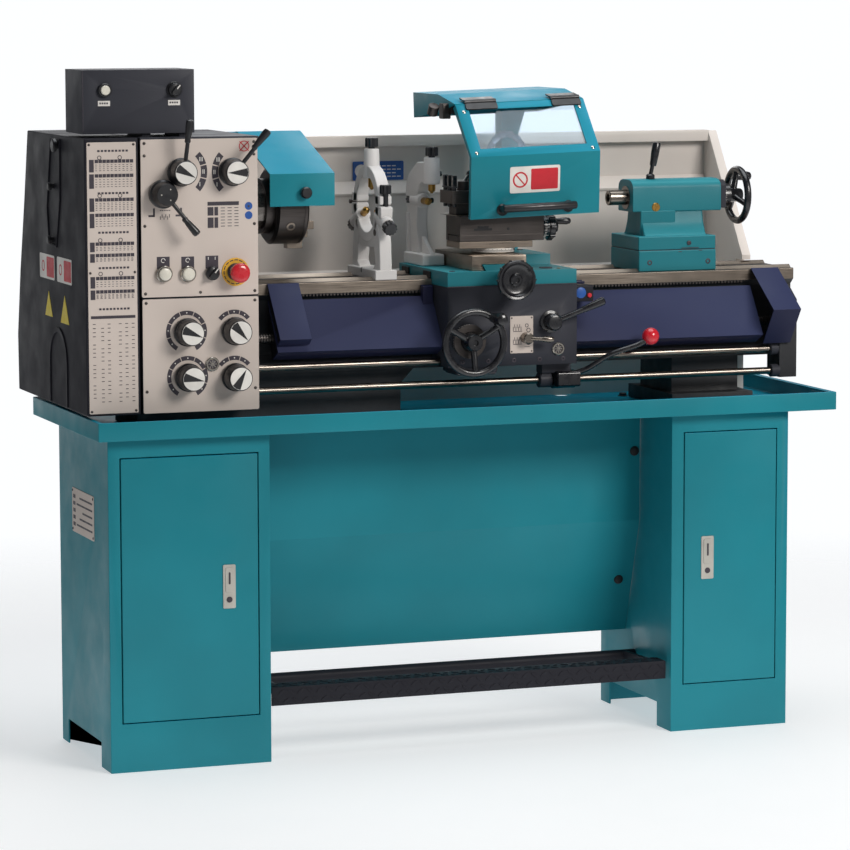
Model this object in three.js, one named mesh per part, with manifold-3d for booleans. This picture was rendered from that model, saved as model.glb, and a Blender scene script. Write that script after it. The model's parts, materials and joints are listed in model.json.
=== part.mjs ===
// Gear-head centre lathe on a two-cabinet stand, about 1.7 m long.
// Millimetres, +Z up. X runs along the spindle, headstock at -X and tailstock at +X; the
// operator stands at -Y. The origin is the centre of the footprint, on the floor.
import * as THREE from "three";
import { mergeVertices } from "three/addons/utils/BufferGeometryUtils.js";
import Module from "manifold-3d";

const wasm = await Module();
wasm.setup();

// ---- driving dimensions ----
const FIT = 0.3; // working gap between pieces that touch
const SPINDLE = { y: -20, z: 1178 }; // spindle and quill axis
const TRAY = { x: 850, y0: -273, y1: 279, z0: 709.4, z1: 749.3, wall: 4 };
const CABINET = { y0: -243, y1: 159, z1: 708.8, wall: 4 };
const LEFT_CABINET = { x0: -823, x1: -468 };
const RIGHT_CABINET = { x0: 464, x1: 746 };
const LEFT_DOOR = { x0: -795, x1: -495 };
const RIGHT_DOOR = { x0: 494.5, x1: 717 };
const DOOR = { z0: 106.5, z1: 668, skin: 3, depth: 14, gap: 2.3 };
const FORK_SLOT = { y0: -165, y1: 108, height: 54 };
const PEDAL = { pivotY: -40, pivotZ: 140, pin: 8 };
const WAY = { y0: -112, y1: 72, z: 1016, under: 822, shear: 46, x0: -733, x1: 818 };
const RIDGE = { front: -89, rear: 49, half: 9, rise: 7 };
const HEAD = { x0: -734, x1: -478, y0: -206, y1: 160, z0: 1001.5, z1: 1338 };
const GEARBOX = { y1: -114, z0: 757, z1: 1000 };
const COVER = { x0: -857, x1: -741, wall: 4 };
const COVER_SIDE = [
  [-211, 757], [-211, 1338], [268, 1338], [306, 1182], [350, 1024], [380, 880], [376, 757],
];
const E_BOX = { x0: -853, x1: -610, y0: -185, y1: -50, z0: 1346, z1: 1479, wall: 3 };
const MOTOR = { y: 262, z: 925, r: 78 };
const LEADSCREW = { y: -150, z: 902, r: 11 };
const FEED_ROD = { y: -160, z: 840, r: 8 };
const CONTROL_ROD = { y: -165, z: 791, r: 8 };
const GUARD_SKIN = 2.5;
const CHUCK = { x0: -398, x1: -328, r: 83, bore: 22, jawWidth: 24 };
const SADDLE = { x0: -53, x1: 247, y0: -214, y1: 96, z1: 1037 };
const APRON = { y0: -216, y1: -117, z0: 830, z1: 1004.6 };
const CROSS = { x0: 10, x1: 137, y0: -195, y1: 36, z1: 1070 };
const TOP_SLIDE = { x0: -1, x1: 196, y0: -150, y1: -64, z0: 1097, z1: 1153 };
const RING = { x: 93, y: -107, r: 47 };
const POST = { x: 20, y: -107 };
const SHIELD_TILT = THREE.MathUtils.degToRad(-1.8);
const STEADY_X = -158;
const TAIL = { x0: 444, x1: 632, y0: -100, y1: 62 };

// ---- colours ----
const paints = {
  teal: [0x2a808c, 0.45, 0.1],
  blue: [0x0a88b0, 0.4, 0.1],
  navy: [0x2f3963, 0.5, 0.2],
  cream: [0xd8d2c8, 0.5, 0.05],
  black: [0x22232c, 0.55, 0.1],
  charcoal: [0x36363a, 0.55, 0.2],
  steel: [0x9a938c, 0.35, 0.9],
  bright: [0xc8c8c8, 0.2, 1],
  red: [0xc81e2a, 0.35, 0],
  plastic: [0x141418, 0.4, 0],
  white: [0xe8e8e4, 0.4, 0],
};

const lathe = new THREE.Group();

function add(name, geometry, paint, place) {
  const [color, roughness, metalness] = paints[paint];
  const material = new THREE.MeshStandardMaterial({ color, roughness, metalness });
  const mesh = new THREE.Mesh(closed(geometry), material);
  mesh.name = name;
  if (place) place(mesh);
  lathe.add(mesh);
  return mesh;
}

// ---- solids ----
function volume(geometry) {
  const p = geometry.attributes.position;
  const at = geometry.index;
  const a = new THREE.Vector3();
  const b = new THREE.Vector3();
  const c = new THREE.Vector3();
  let sum = 0;
  for (let i = 0; i < at.count; i += 3) {
    a.fromBufferAttribute(p, at.getX(i));
    b.fromBufferAttribute(p, at.getX(i + 1));
    c.fromBufferAttribute(p, at.getX(i + 2));
    sum += a.dot(b.cross(c));
  }
  return sum;
}

// One closed surface with shared corners, facing out.
function closed(geometry) {
  const bare = geometry.clone();
  bare.deleteAttribute("normal");
  bare.deleteAttribute("uv");
  const merged = mergeVertices(bare, 1e-3);
  const old = merged.index.array;
  const kept = [];
  for (let i = 0; i < old.length; i += 3) {
    const [a, b, c] = [old[i], old[i + 1], old[i + 2]];
    if (a !== b && b !== c && c !== a) kept.push(a, b, c);
  }
  merged.setIndex(kept);
  if (volume(merged) < 0) {
    for (let i = 0; i < kept.length; i += 3) [kept[i], kept[i + 1]] = [kept[i + 1], kept[i]];
    merged.setIndex(kept);
  }
  return merged;
}

function toSolid(geometry) {
  const shell = closed(geometry);
  return new wasm.Manifold(new wasm.Mesh({
    numProp: 3,
    vertProperties: new Float32Array(shell.attributes.position.array),
    triVerts: new Uint32Array(shell.index.array),
  }));
}

function fromSolid(solid) {
  const mesh = solid.getMesh();
  const geometry = new THREE.BufferGeometry();
  const corners = new Float32Array(mesh.vertProperties);
  geometry.setAttribute("position", new THREE.BufferAttribute(corners, 3));
  geometry.setIndex(new THREE.BufferAttribute(new Uint32Array(mesh.triVerts), 1));
  return geometry;
}

const join = (...parts) => fromSolid(parts.map(toSolid).reduce((a, b) => a.add(b)));
const cut = (body, ...tools) => fromSolid(tools.map(toSolid).reduce((a, b) => a.subtract(b), toSolid(body)));

function box(x0, x1, y0, y1, z0, z1) {
  const g = new THREE.BoxGeometry(x1 - x0, y1 - y0, z1 - z0);
  return g.translate((x0 + x1) / 2, (y0 + y1) / 2, (z0 + z1) / 2);
}

function extrude(points, depth) {
  const shape = new THREE.Shape(points.map(([u, v]) => new THREE.Vector2(u, v)));
  return new THREE.ExtrudeGeometry(shape, { depth, bevelEnabled: false });
}

// profile of [y, z] points, from x0 to x1
function alongX(profile, x0, x1) {
  const m = new THREE.Matrix4().set(0, 0, 1, x0, 1, 0, 0, 0, 0, 1, 0, 0, 0, 0, 0, 1);
  return extrude(profile, x1 - x0).applyMatrix4(m);
}

// profile of [x, z] points, from y0 to y1
function alongY(profile, y0, y1) {
  return extrude(profile, y1 - y0).rotateX(Math.PI / 2).translate(0, y1, 0);
}

// profile of [x, y] points, from z0 to z1
function alongZ(profile, z0, z1) {
  return extrude(profile, z1 - z0).translate(0, 0, z0);
}

// Turned piece: [distance along the axis, radius] points; the axis passes through (u, v).
function turned(axis, u, v, profile, sides = 16) {
  const first = profile[0];
  const last = profile[profile.length - 1];
  const points = [[first[0], 0], ...profile, [last[0], 0]].map(([along, r]) => new THREE.Vector2(r, along));
  const g = new THREE.LatheGeometry(points, sides);
  if (axis === "x") return g.rotateZ(-Math.PI / 2).translate(0, u, v);
  if (axis === "z") return g.rotateX(Math.PI / 2).translate(u, v, 0);
  return g.translate(u, 0, v);
}

const rod = (axis, u, v, r, a, b, sides = 16) => turned(axis, u, v, [[a, r], [b, r]], sides);

// Straight round bar between two points.
function bar(from, to, r, sides = 8) {
  const a = new THREE.Vector3(...from);
  const b = new THREE.Vector3(...to);
  const g = new THREE.CylinderGeometry(r, r, a.distanceTo(b), sides);
  const along = b.clone().sub(a).normalize();
  const turn = new THREE.Quaternion().setFromUnitVectors(new THREE.Vector3(0, 1, 0), along);
  return g.applyQuaternion(turn).translate(...a.add(b).multiplyScalar(0.5).toArray());
}

// Round bar bent along a smooth line through the points.
function bentBar(points, r, steps, sides = 10) {
  const path = new THREE.CatmullRomCurve3(points.map((p) => new THREE.Vector3(...p)));
  const ring = new THREE.Shape();
  for (let i = 0; i < sides; i += 1) {
    const turn = (2 * Math.PI * i) / sides;
    if (i === 0) ring.moveTo(r, 0);
    else ring.lineTo(r * Math.cos(turn), r * Math.sin(turn));
  }
  return new THREE.ExtrudeGeometry(ring, { steps, extrudePath: path, bevelEnabled: false });
}

const ball = (x, y, z, r, sides = 14) => new THREE.SphereGeometry(r, sides, sides / 2).translate(x, y, z);

// Closed outline of a bent sheet: the line of its outer face and the same line one skin inside.
function sheet(line, skin) {
  const inner = line.map((p, i) => {
    const before = line[Math.max(i - 1, 0)];
    const after = line[Math.min(i + 1, line.length - 1)];
    const n1 = normal(i === 0 ? p : before, i === 0 ? after : p);
    const n2 = normal(i === line.length - 1 ? before : p, i === line.length - 1 ? p : after);
    const k = skin / (1 + n1[0] * n2[0] + n1[1] * n2[1]);
    return [p[0] + (n1[0] + n2[0]) * k, p[1] + (n1[1] + n2[1]) * k];
  });
  return [...line, ...inner.reverse()];
}

function normal(a, b) {
  const d = Math.hypot(b[0] - a[0], b[1] - a[1]);
  return [-(b[1] - a[1]) / d, (b[0] - a[0]) / d];
}

// ---- stand ----
function cabinet({ x0, x1 }, door, rearCover) {
  const { y0, y1, z1, wall } = CABINET;
  const { gap } = DOOR;
  const pinX = x0 > 0 ? x0 : x1;
  const shell = cut(
    box(x0, x1, y0, y1, 0, z1),
    box(x0 + wall, x1 - wall, y0 + wall, y1 - wall, 60, z1 - wall),
    box(x0 + wall, x1 - wall, y0 + wall, y1 - wall, -1, 56),
    box(door.x0 - gap, door.x1 + gap, y0 - 1, y0 + wall + 1, DOOR.z0 - gap, DOOR.z1 + gap),
    box(x0 - 1, x1 + 1, FORK_SLOT.y0, FORK_SLOT.y1, -1, FORK_SLOT.height),
    rod("x", PEDAL.pivotY, PEDAL.pivotZ, PEDAL.pin + 0.5, pinX - 30, pinX + 30),
  );
  return rearCover ? join(shell, box(x0 + 30, x1 - 20, y1 - 1, y1 + 12, 20, 585)) : shell;
}

function door({ x0, x1 }) {
  const y0 = CABINET.y0 - 1;
  const { z0, z1, skin, depth } = DOOR;
  return cut(
    box(x0, x1, y0, y0 + depth, z0, z1),
    box(x0 + skin, x1 - skin, y0 + skin, y0 + depth + 1, z0 + skin, z1 - skin),
  );
}

add("left_cabinet", cabinet(LEFT_CABINET, LEFT_DOOR, true), "teal");
add("right_cabinet", cabinet(RIGHT_CABINET, RIGHT_DOOR, false), "teal");
add("left_door", door(LEFT_DOOR), "teal");
add("right_door", door(RIGHT_DOOR), "teal");

const panelLine = [[15, 190], [-65, 452], [-65, 708.8]];
add("stand_front_panel", alongX(sheet(panelLine, -3), LEFT_CABINET.x1 + FIT, RIGHT_CABINET.x0 - FIT), "teal");

const treadLine = [[-176, 158], [-228, 158], [-228, 118]];
add("brake_pedal", join(
  alongX(sheet(treadLine, 4), -462, 458),
  ...[-440, 436].map((x) => alongX([[-180, 157], [-180, 134], [-40, 128], [-40, 152]], x - 5, x + 5)),
  rod("x", PEDAL.pivotY, PEDAL.pivotZ, 14, LEFT_CABINET.x1 + 2, RIGHT_CABINET.x0 - 2, 16),
  rod("x", PEDAL.pivotY, PEDAL.pivotZ, PEDAL.pin, LEFT_CABINET.x1 - 14, RIGHT_CABINET.x0 + 14, 16),
), "charcoal");

const { x: tx, y0: ty0, y1: ty1, z0: tz0, z1: tz1, wall: tw } = TRAY;
add("chip_tray", cut(
  box(-tx, tx, ty0, ty1, tz0, tz1),
  box(-tx + tw, tx - tw, ty0 + tw, ty1 - tw, tz0 + tw, tz1 + 1),
  rod("z", 380, 200, 22, tz0 - 1, tz0 + tw + 1, 16),
), "teal");

const guardLine = [
  [238, 1290], [238, 1312], [262, 1312], [262, 1207], [246, 1184], [246, 1012], [200, 968], [200, 714],
];
const wingLine = [[275, 714], [275, 1312], [238, 1314], [44, 1036], [44, 1025], [78, 1025], [78, 714]];
add("splash_guard", join(
  alongX(sheet(guardLine, 3), -470, 764),
  alongX(wingLine, 763, 766),
  alongX([[44, 1025], [44, 1036], [238, 1314], [241, 1310], [47.5, 1034], [47.5, 1025]], 763, 784),
  alongX([[78, 714], [78, 1025], [81, 1025], [81, 714]], 763, 784),
), "cream");

// ---- bed ----
const ridge = (y, grow, x0, x1) => alongX([
  [y - RIDGE.half - grow, WAY.z - 1],
  [y + RIDGE.half + grow, WAY.z - 1],
  [y + RIDGE.half + grow, WAY.z + grow],
  [y, WAY.z + RIDGE.rise + 1.4 * grow],
  [y - RIDGE.half - grow, WAY.z + grow],
], x0, x1);

const bedWindows = [];
for (let x = -330; x < 640; x += 150) {
  bedWindows.push(box(x + 14, x + 136, WAY.y0 + WAY.shear, WAY.y1 - WAY.shear, WAY.under + 30, WAY.z + 20));
}
const bedSection = [
  [-112, 822], [-112, 846], [-98, 862], [-98, 980], [-112, 992], [-112, 1016],
  [72, 1016], [72, 992], [58, 980], [58, 862], [72, 846], [72, 822],
];
const endBracket = [[-111, 776], [-111, 980], [-134, 980], [-176, 950], [-176, 776]];
const rodBores = (x0, x1) => [LEADSCREW, FEED_ROD, CONTROL_ROD].map(
  ({ y, z, r }) => rod("x", y, z, r + 0.5, x0, x1),
);
add("bed", cut(
  join(
    alongX(bedSection, WAY.x0, WAY.x1),
    ridge(RIDGE.front, 0, -470, WAY.x1),
    ridge(RIDGE.rear, 0, -470, WAY.x1),
    alongY([[-720, 714.5], [-720, 830], [-86, 830], [-124, 790], [-124, 714.5]], -108, 68),
    alongY([[521, 740], [521, 830], [683, 830], [683, 740]], -108, 68),
    box(505, 702, -150, 100, 714.5, 745),
    alongX(endBracket, 755, 797),
    rod("x", FEED_ROD.y, FEED_ROD.z, 14, 737, 756, 20),
    rod("x", CONTROL_ROD.y, CONTROL_ROD.z, 14, 737, 756, 20),
  ),
  ...bedWindows,
  ...rodBores(730, 780),
), "charcoal");

// ---- headstock ----
add("headstock", cut(
  join(
    box(HEAD.x0, HEAD.x1, HEAD.y0, HEAD.y1, WAY.z + FIT, HEAD.z1),
    box(HEAD.x0, HEAD.x1, HEAD.y0, WAY.y0 - 1, HEAD.z0, WAY.z + 5),
    box(HEAD.x0 - 2, HEAD.x1 + 2, HEAD.y0 - 2, HEAD.y1 + 2, HEAD.z1 - 12, HEAD.z1),
    rod("x", SPINDLE.y, SPINDLE.z, 62, HEAD.x1 - 1, HEAD.x1 + 12, 28),
    box(HEAD.x0 + 10, HEAD.x0 + 170, HEAD.y1 - 1, 182, 905, 1060),
  ),
  box(HEAD.x0 - 1, HEAD.x1 - 26, -160, 120, 1050, 1306),
  rod("x", SPINDLE.y, SPINDLE.z, 32, HEAD.x1 - 40, HEAD.x1 + 20, 24),
  box(HEAD.x0 - 10, HEAD.x1 + 10, WAY.y0 - 0.6, HEAD.y1 + 30, 900, WAY.z + FIT),
), "cream");

const KNOBS = [[-638.5, 928], [-533.5, 927], [-637, 832], [-533.5, 829]];
add("feed_gearbox", cut(
  box(HEAD.x0, HEAD.x1, HEAD.y0, GEARBOX.y1, GEARBOX.z0, GEARBOX.z1),
  box(HEAD.x0 + 14, HEAD.x1 - 14, HEAD.y0 + 16, GEARBOX.y1 + 1, GEARBOX.z0 + 14, GEARBOX.z1 - 14),
  ...KNOBS.map(([x, z]) => rod("y", x, z, 7.5, HEAD.y0 - 1, HEAD.y0 + 20, 12)),
  ...rodBores(HEAD.x1 - 20, HEAD.x1 + 1),
), "cream");

add("electrical_box", cut(
  join(
    box(E_BOX.x0, E_BOX.x1, E_BOX.y0, E_BOX.y1, E_BOX.z0, E_BOX.z1),
    ...[-722, -640].map((x) => box(x, x + 20, E_BOX.y0 + 12, E_BOX.y1 - 12, HEAD.z1 + FIT, E_BOX.z0 + 10)),
  ),
  box(E_BOX.x0 + 3, E_BOX.x1 - 3, E_BOX.y0 + 3, E_BOX.y1 - 3, E_BOX.z0 + 12, E_BOX.z1 - 3),
  box(E_BOX.x0 + 30, -740, E_BOX.y0 + 20, E_BOX.y1 - 20, E_BOX.z0 - 1, E_BOX.z0 + 13),
  rod("y", -805, 1437, 7.5, E_BOX.y0 - 1, E_BOX.y0 + 5, 16),
  rod("y", -653.5, 1437, 7.5, E_BOX.y0 - 1, E_BOX.y0 + 5, 16),
), "charcoal");

add("drive_motor", cut(
  join(
    turned("x", MOTOR.y, MOTOR.z, [
      [-700, 60], [-696, MOTOR.r], [-536, MOTOR.r], [-532, 82], [-500, 82], [-492, 60],
    ], 20),
    box(-690, -560, 183, 215, 915, 1040),
    box(-660, -590, MOTOR.y - 35, MOTOR.y + 35, 990, 1030),
  ),
  rod("x", MOTOR.y, MOTOR.z, 13, -710, -660, 16),
), "charcoal");
add("motor_pulley", join(
  turned("x", MOTOR.y, MOTOR.z, [
    [-800, 34], [-796, 42], [-786, 34], [-776, 42], [-766, 34], [-762, 42], [-758, 42],
  ], 20),
  rod("x", MOTOR.y, MOTOR.z, 12, -800, -664, 16),
), "steel");

const inset = (outline, by) => {
  const cy = outline.reduce((s, p) => s + p[0], 0) / outline.length;
  const cz = outline.reduce((s, p) => s + p[1], 0) / outline.length;
  return outline.map(([y, z]) => [y + Math.sign(cy - y) * by, z + Math.sign(cz - z) * by]);
};
add("gear_cover", cut(
  alongX(COVER_SIDE, COVER.x0, COVER.x1),
  alongX(inset(COVER_SIDE, COVER.wall), COVER.x0 + COVER.wall, COVER.x1 + 1),
), "black");

// ---- screw, feed rod and control rod ----
const REACH = { x0: HEAD.x1 - 12, x1: 778 };
add("leadscrew", rod("x", LEADSCREW.y, LEADSCREW.z, LEADSCREW.r, REACH.x0, REACH.x1), "steel");
add("feed_rod", rod("x", FEED_ROD.y, FEED_ROD.z, FEED_ROD.r, REACH.x0, REACH.x1), "bright");
add("control_rod", rod("x", CONTROL_ROD.y, CONTROL_ROD.z, CONTROL_ROD.r, REACH.x0, REACH.x1), "bright");

add("left_fixed_guard", alongX(sheet([[-116, 1017], [-206, 903], [-187, 889]], GUARD_SKIN), -430, -359), "navy");
add("right_fixed_guard", alongX(sheet([[-116, 1019], [-240, 934], [-184, 854]], GUARD_SKIN), 710.5, 777.5), "navy");

// ---- headstock controls, all facing the operator ----
const PANEL = HEAD.y0 - 6;

function shiftLever(from, to) {
  return join(
    turned("y", 0, 0, [[-0.4, 30], [-12, 30], [-16, 26], [-42, 23]]),
    bar([0, -28, 0], [to[0], to[1], to[2]], 4.5),
    bar(from, to, 7.5, 10),
  );
}
const at = (x, y, z) => (mesh) => mesh.position.set(x, y, z);
add("speed_lever_1", shiftLever([4, -40, 70], [8, -48, 110]), "plastic", at(-649, PANEL, 1265));
add("speed_lever_2", shiftLever([37, -40, 52], [66, -48, 88]), "plastic", at(-536.5, PANEL, 1263.5));
add("feed_direction_lever", shiftLever([38, -38, -52], [64, -46, -84]), "plastic", at(-690, PANEL, 1220));

KNOBS.forEach(([x, z], i) => {
  const knob = join(
    turned("y", 0, 0, [[-0.4, 30], [-8, 30], [-12, 25.5], [-46, 24]]),
    rod("y", 0, 0, 7, -1, 20, 12),
  );
  add(`feed_knob_${i + 1}`, knob, "black", at(x, PANEL, z));
});

const button = (r, out, gap = 0.4) => turned("y", 0, 0, [[-gap, r], [-out + 2, r], [-out, r - 2]], 16);
add("jog_button", button(13, 14), "white", at(-687.5, PANEL, 1052));
add("coolant_switch", button(15, 20), "plastic", at(-582.5, PANEL, 1051));
const mushroom = turned("y", 0, 0, [[-0.4, 14], [-18, 14], [-22, 21], [-30, 21], [-36, 12]]);
add("emergency_stop", mushroom, "red", at(-530, PANEL - 6, 1052));
const stub = (r, from = -1) => rod("y", 0, 0, r, from, 12, 12);
add("reset_button", join(button(10, 12, 4), stub(6, -5)), "white", at(-805, E_BOX.y0, 1437));
add("lamp_switch", join(button(14, 20), stub(6)), "plastic", at(-653.5, E_BOX.y0, 1437));

// ---- spindle and chuck ----
add("spindle", cut(
  turned("x", SPINDLE.y, SPINDLE.z, [
    [-806, 26], [-806, 70], [-768, 70], [-768, 28], [-690, 28], [-690, 92], [-660, 92], [-660, 66],
    [-620, 66], [-620, 80], [-590, 80], [-590, 31], [-466, 31], [-464, 58], [-446, 58], [-446, 50], [-418, 50],
  ], 20),
  rod("x", SPINDLE.y, SPINDLE.z, 19, -820, -400, 14),
), "steel");

function jawSlot(turn) {
  const half = CHUCK.jawWidth / 2 + 0.4;
  const slot = box(CHUCK.x1 - 30, CHUCK.x1 + 1, -half, half, 20, 100);
  return slot.rotateX(turn).translate(0, SPINDLE.y, SPINDLE.z);
}
const JAW_TURNS = [0, 1, 2].map((i) => THREE.MathUtils.degToRad(180 + 120 * i));
add("chuck_body", cut(
  turned("x", SPINDLE.y, SPINDLE.z, [
    [-417.6, 60], [-400, 60], [-398, 78], [-394, CHUCK.r], [-334, CHUCK.r], [CHUCK.x1, CHUCK.r - 4],
  ], 30),
  rod("x", SPINDLE.y, SPINDLE.z, CHUCK.bore, -430, -320, 18),
  ...JAW_TURNS.map(jawSlot),
), "steel");

const jawSide = [
  [34, -357.7], [34, -296], [52, -296], [52, -310], [70, -310], [70, -322], [93, -322], [93, -357.7],
];
JAW_TURNS.forEach((turn, i) => {
  const jaw = extrude(jawSide.map(([r, x]) => [x, r]), CHUCK.jawWidth).translate(0, 0, -CHUCK.jawWidth / 2)
    .rotateX(Math.PI / 2);
  add(`chuck_jaw_${i + 1}`, jaw, "steel", (mesh) => {
    mesh.position.set(0, SPINDLE.y, SPINDLE.z);
    mesh.rotation.x = turn;
  });
});

add("chuck_guard", join(
  alongX(sheet([[-122, 1182], [-122, 1252], [112, 1334], [128, 1334]], -3), -424, -278),
  alongX([[-121, 1183], [-121, 1251], [110, 1331], [110, 1270], [-20, 1280], [-108, 1200]], -281, -278),
  alongX([[112, 1308], [112, 1333], [142, 1333], [142, 1308]], -452, -400),
  rod("x", 127, 1318, 9, HEAD.x1 + 3, -420, 16),
), "cream");

// ---- carriage ----
const dovetail = (x, half, grow, z0, z1) => [
  [x - half + 8 - grow, z0], [x + half - 8 + grow, z0], [x + half + grow, z1], [x - half - grow, z1],
];
const crossX = (CROSS.x0 + CROSS.x1) / 2;
add("saddle", cut(
  join(
    box(SADDLE.x0, SADDLE.x1, -113, SADDLE.y1, WAY.z + FIT, SADDLE.z1),
    box(SADDLE.x0, SADDLE.x1, SADDLE.y0, -113, 1005, SADDLE.z1),
    box(150, SADDLE.x1, -60, SADDLE.y1, SADDLE.z1 - 1, 1060),
    alongY(dovetail(crossX, 40, 0, SADDLE.z1 - 0.5, 1050), -200, SADDLE.y1 - 4),
    rod("y", crossX + 6, 1022, 14, -232, SADDLE.y0 + 1),
  ),
  ridge(RIDGE.front, 0.5, SADDLE.x0 - 1, SADDLE.x1 + 1),
  ridge(RIDGE.rear, 0.5, SADDLE.x0 - 1, SADDLE.x1 + 1),
  rod("y", crossX + 6, 1022, 8, -240, -195, 16),
), "teal");

add("apron", cut(
  box(SADDLE.x0, SADDLE.x1, APRON.y0, APRON.y1, APRON.z0, APRON.z1),
  box(SADDLE.x0 + 10, SADDLE.x1 - 10, APRON.y0 + 14, APRON.y1 + 1, APRON.z0 + 12, APRON.z1 - 12),
  ...[LEADSCREW, FEED_ROD].map((s) => rod("x", s.y, s.z, s.r + 2, SADDLE.x0 - 1, SADDLE.x1 + 1, 16)),
  ...[[-11.5, 888.5, 9], [184, 924, 7], [126, 890, 6]].map(
    ([x, z, r]) => rod("y", x, z, r, APRON.y0 - 1, APRON.y0 + 20, 12),
  ),
), "charcoal");

const guardSection = sheet([[-118, 980], [-190, 875], [-150, 855]], GUARD_SKIN);
add("carriage_guard", join(
  alongX(guardSection, -430, SADDLE.x0 - 1),
  alongX(guardSection, SADDLE.x1 + 1, 708),
  alongX([[-116.5, 960], [-116.5, 1004], [-114, 1004], [-114, 960]], -79, 300),
  ...[[-79, SADDLE.x0 - 4], [SADDLE.x1 + 4, 300]].map(
    ([x0, x1]) => alongX([[-117, 958], [-117, 1002], [-132, 1002], [-130, 958]], x0, x1),
  ),
), "navy");

// Turned rim, hub and spokes of a handwheel about an axis along Y.
function handwheel(r, depth, spokes, hub) {
  const rim = new THREE.TorusGeometry(r - 7, 7, 6, 24).rotateX(Math.PI / 2).translate(0, -depth, 0);
  const arms = [];
  for (let i = 0; i < spokes; i += 1) {
    const turn = (2 * Math.PI * i) / spokes + 0.4;
    const end = [Math.cos(turn) * (r - 7), -depth, Math.sin(turn) * (r - 7)];
    arms.push(bar([0, -depth + 14, 0], end, 6, 6));
  }
  return [rim, turned("y", 0, 0, hub, 18), ...arms];
}
add("carriage_handwheel", join(
  ...handwheel(75, 52, 3, [[12, 8], [-0.4, 8], [-0.4, 34], [-16, 36], [-18, 20], [-56, 18]]),
  bar([42, -50, 53], [42, -64, 53], 6),
  turned("y", 42, 53, [[-62, 9], [-70, 12], [-112, 13], [-118, 9]], 14),
), "black", at(-11.5, APRON.y0, 888.5));

add("half_nut_lever", join(
  turned("y", 0, 0, [[14, 6], [-0.4, 6], [-0.4, 24], [-30, 24], [-34, 20]]),
  bar([0, -22, 0], [112, -34, 44], 6),
  bar([66, -29, 26], [112, -34, 44], 8.5),
), "black", at(184, APRON.y0, 924));
add("feed_lever", join(
  turned("y", 0, 0, [[14, 5], [-0.4, 5], [-0.4, 12], [-24, 12]], 16),
  bar([0, -20, 0], [54, -30, -3], 5),
), "bright", at(126, APRON.y0, 890));

add("start_lever", cut(
  join(
    rod("x", CONTROL_ROD.y, CONTROL_ROD.z, 20, 208, 262, 20),
    box(208, 262, -205, -170, 776, 812),
    bentBar([
      [235, -190, 800], [280, -200, 816], [325, -218, 846], [385, -230, 866], [408, -232, 878],
    ], 6, 10, 8),
    ball(416, -232, 885, 19),
  ),
  rod("x", CONTROL_ROD.y, CONTROL_ROD.z, CONTROL_ROD.r + 0.4, 200, 270, 16),
), "black");

add("follow_rest", join(
  box(-44, 8, -30, 94, SADDLE.z1 + FIT, 1063),
  alongX([
    [28, 1060], [94, 1060], [92, 1150], [78, 1226], [40, 1262],
    [-30, 1262], [-34, 1222], [14, 1214], [40, 1180], [44, 1120],
  ], -30, -6),
  turned("z", -14, -20, [[1218, 17], [1276, 17]], 20),
  rod("z", -14, -20, 8, 1196, 1222, 12),
  turned("z", -14, -20, [[1275, 9], [1282, 14], [1300, 14]], 12),
  rod("y", -18, 1178, 8, -2, 50, 12),
  turned("y", -18, 1178, [[88, 10], [96, 16], [112, 16]], 12),
), "white");

add("cross_slide", cut(
  join(
    box(CROSS.x0, CROSS.x1, CROSS.y0, CROSS.y1, SADDLE.z1 + FIT, CROSS.z1),
    rod("z", RING.x, RING.y, 34, CROSS.z1 - 1, CROSS.z1 + 3, 20),
  ),
  alongY(dovetail(crossX, 40, 0.5, SADDLE.z1 - 1, 1050.5), CROSS.y0 - 1, CROSS.y1 + 1),
), "steel");
add("cross_handwheel", join(
  turned("y", 0, 0, [[30, 6], [-2, 6], [-2, 24], [-18, 26], [-20, 14], [-44, 14]]),
  turned("y", 0, 0, [[-36, 16], [-40, 36], [-44, 43], [-56, 43], [-56, 36], [-46, 30], [-46, 12]], 22),
), "black", at(crossX + 6, -232, 1022));

add("compound_base", join(
  cut(
    rod("z", RING.x, RING.y, RING.r, CROSS.z1 + FIT, 1083, 28),
    rod("z", RING.x, RING.y, 34.5, CROSS.z1 - 1, CROSS.z1 + 3.5, 20),
  ),
  box(-1, 170, TOP_SLIDE.y0 + 2, TOP_SLIDE.y1 - 2, 1082.5, TOP_SLIDE.z0 - FIT),
  alongX([[-131, 1096], [-83, 1096], [-77, 1110], [-137, 1110]], -1, 140),
), "steel");
add("top_slide", cut(
  join(
    box(TOP_SLIDE.x0, TOP_SLIDE.x1, TOP_SLIDE.y0, TOP_SLIDE.y1, TOP_SLIDE.z0, TOP_SLIDE.z1),
    rod("x", POST.y, 1124, 20, TOP_SLIDE.x1 - 1, TOP_SLIDE.x1 + 6, 20),
    rod("z", POST.x, POST.y, 9, TOP_SLIDE.z1 - 1, 1214, 16),
  ),
  alongX([[-131.5, 1096], [-82.5, 1096], [-76, 1110.6], [-138, 1110.6]], TOP_SLIDE.x0 - 1, TOP_SLIDE.x1 - 18),
  rod("x", POST.y, 1124, 6.6, TOP_SLIDE.x1 - 24, TOP_SLIDE.x1 + 10, 12),
), "steel");
add("top_slide_crank", join(
  turned("x", 0, 0, [[-20, 6], [6.5, 6], [6.5, 23], [26, 25], [28, 14], [40, 14]]),
  alongX([[-12, -14], [-12, 14], [26, 12], [26, -8]], 36, 46),
  turned("x", 12, 4, [[44, 6], [50, 8], [82, 8], [86, 5]], 14),
), "black", at(TOP_SLIDE.x1, POST.y, 1124));
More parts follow.
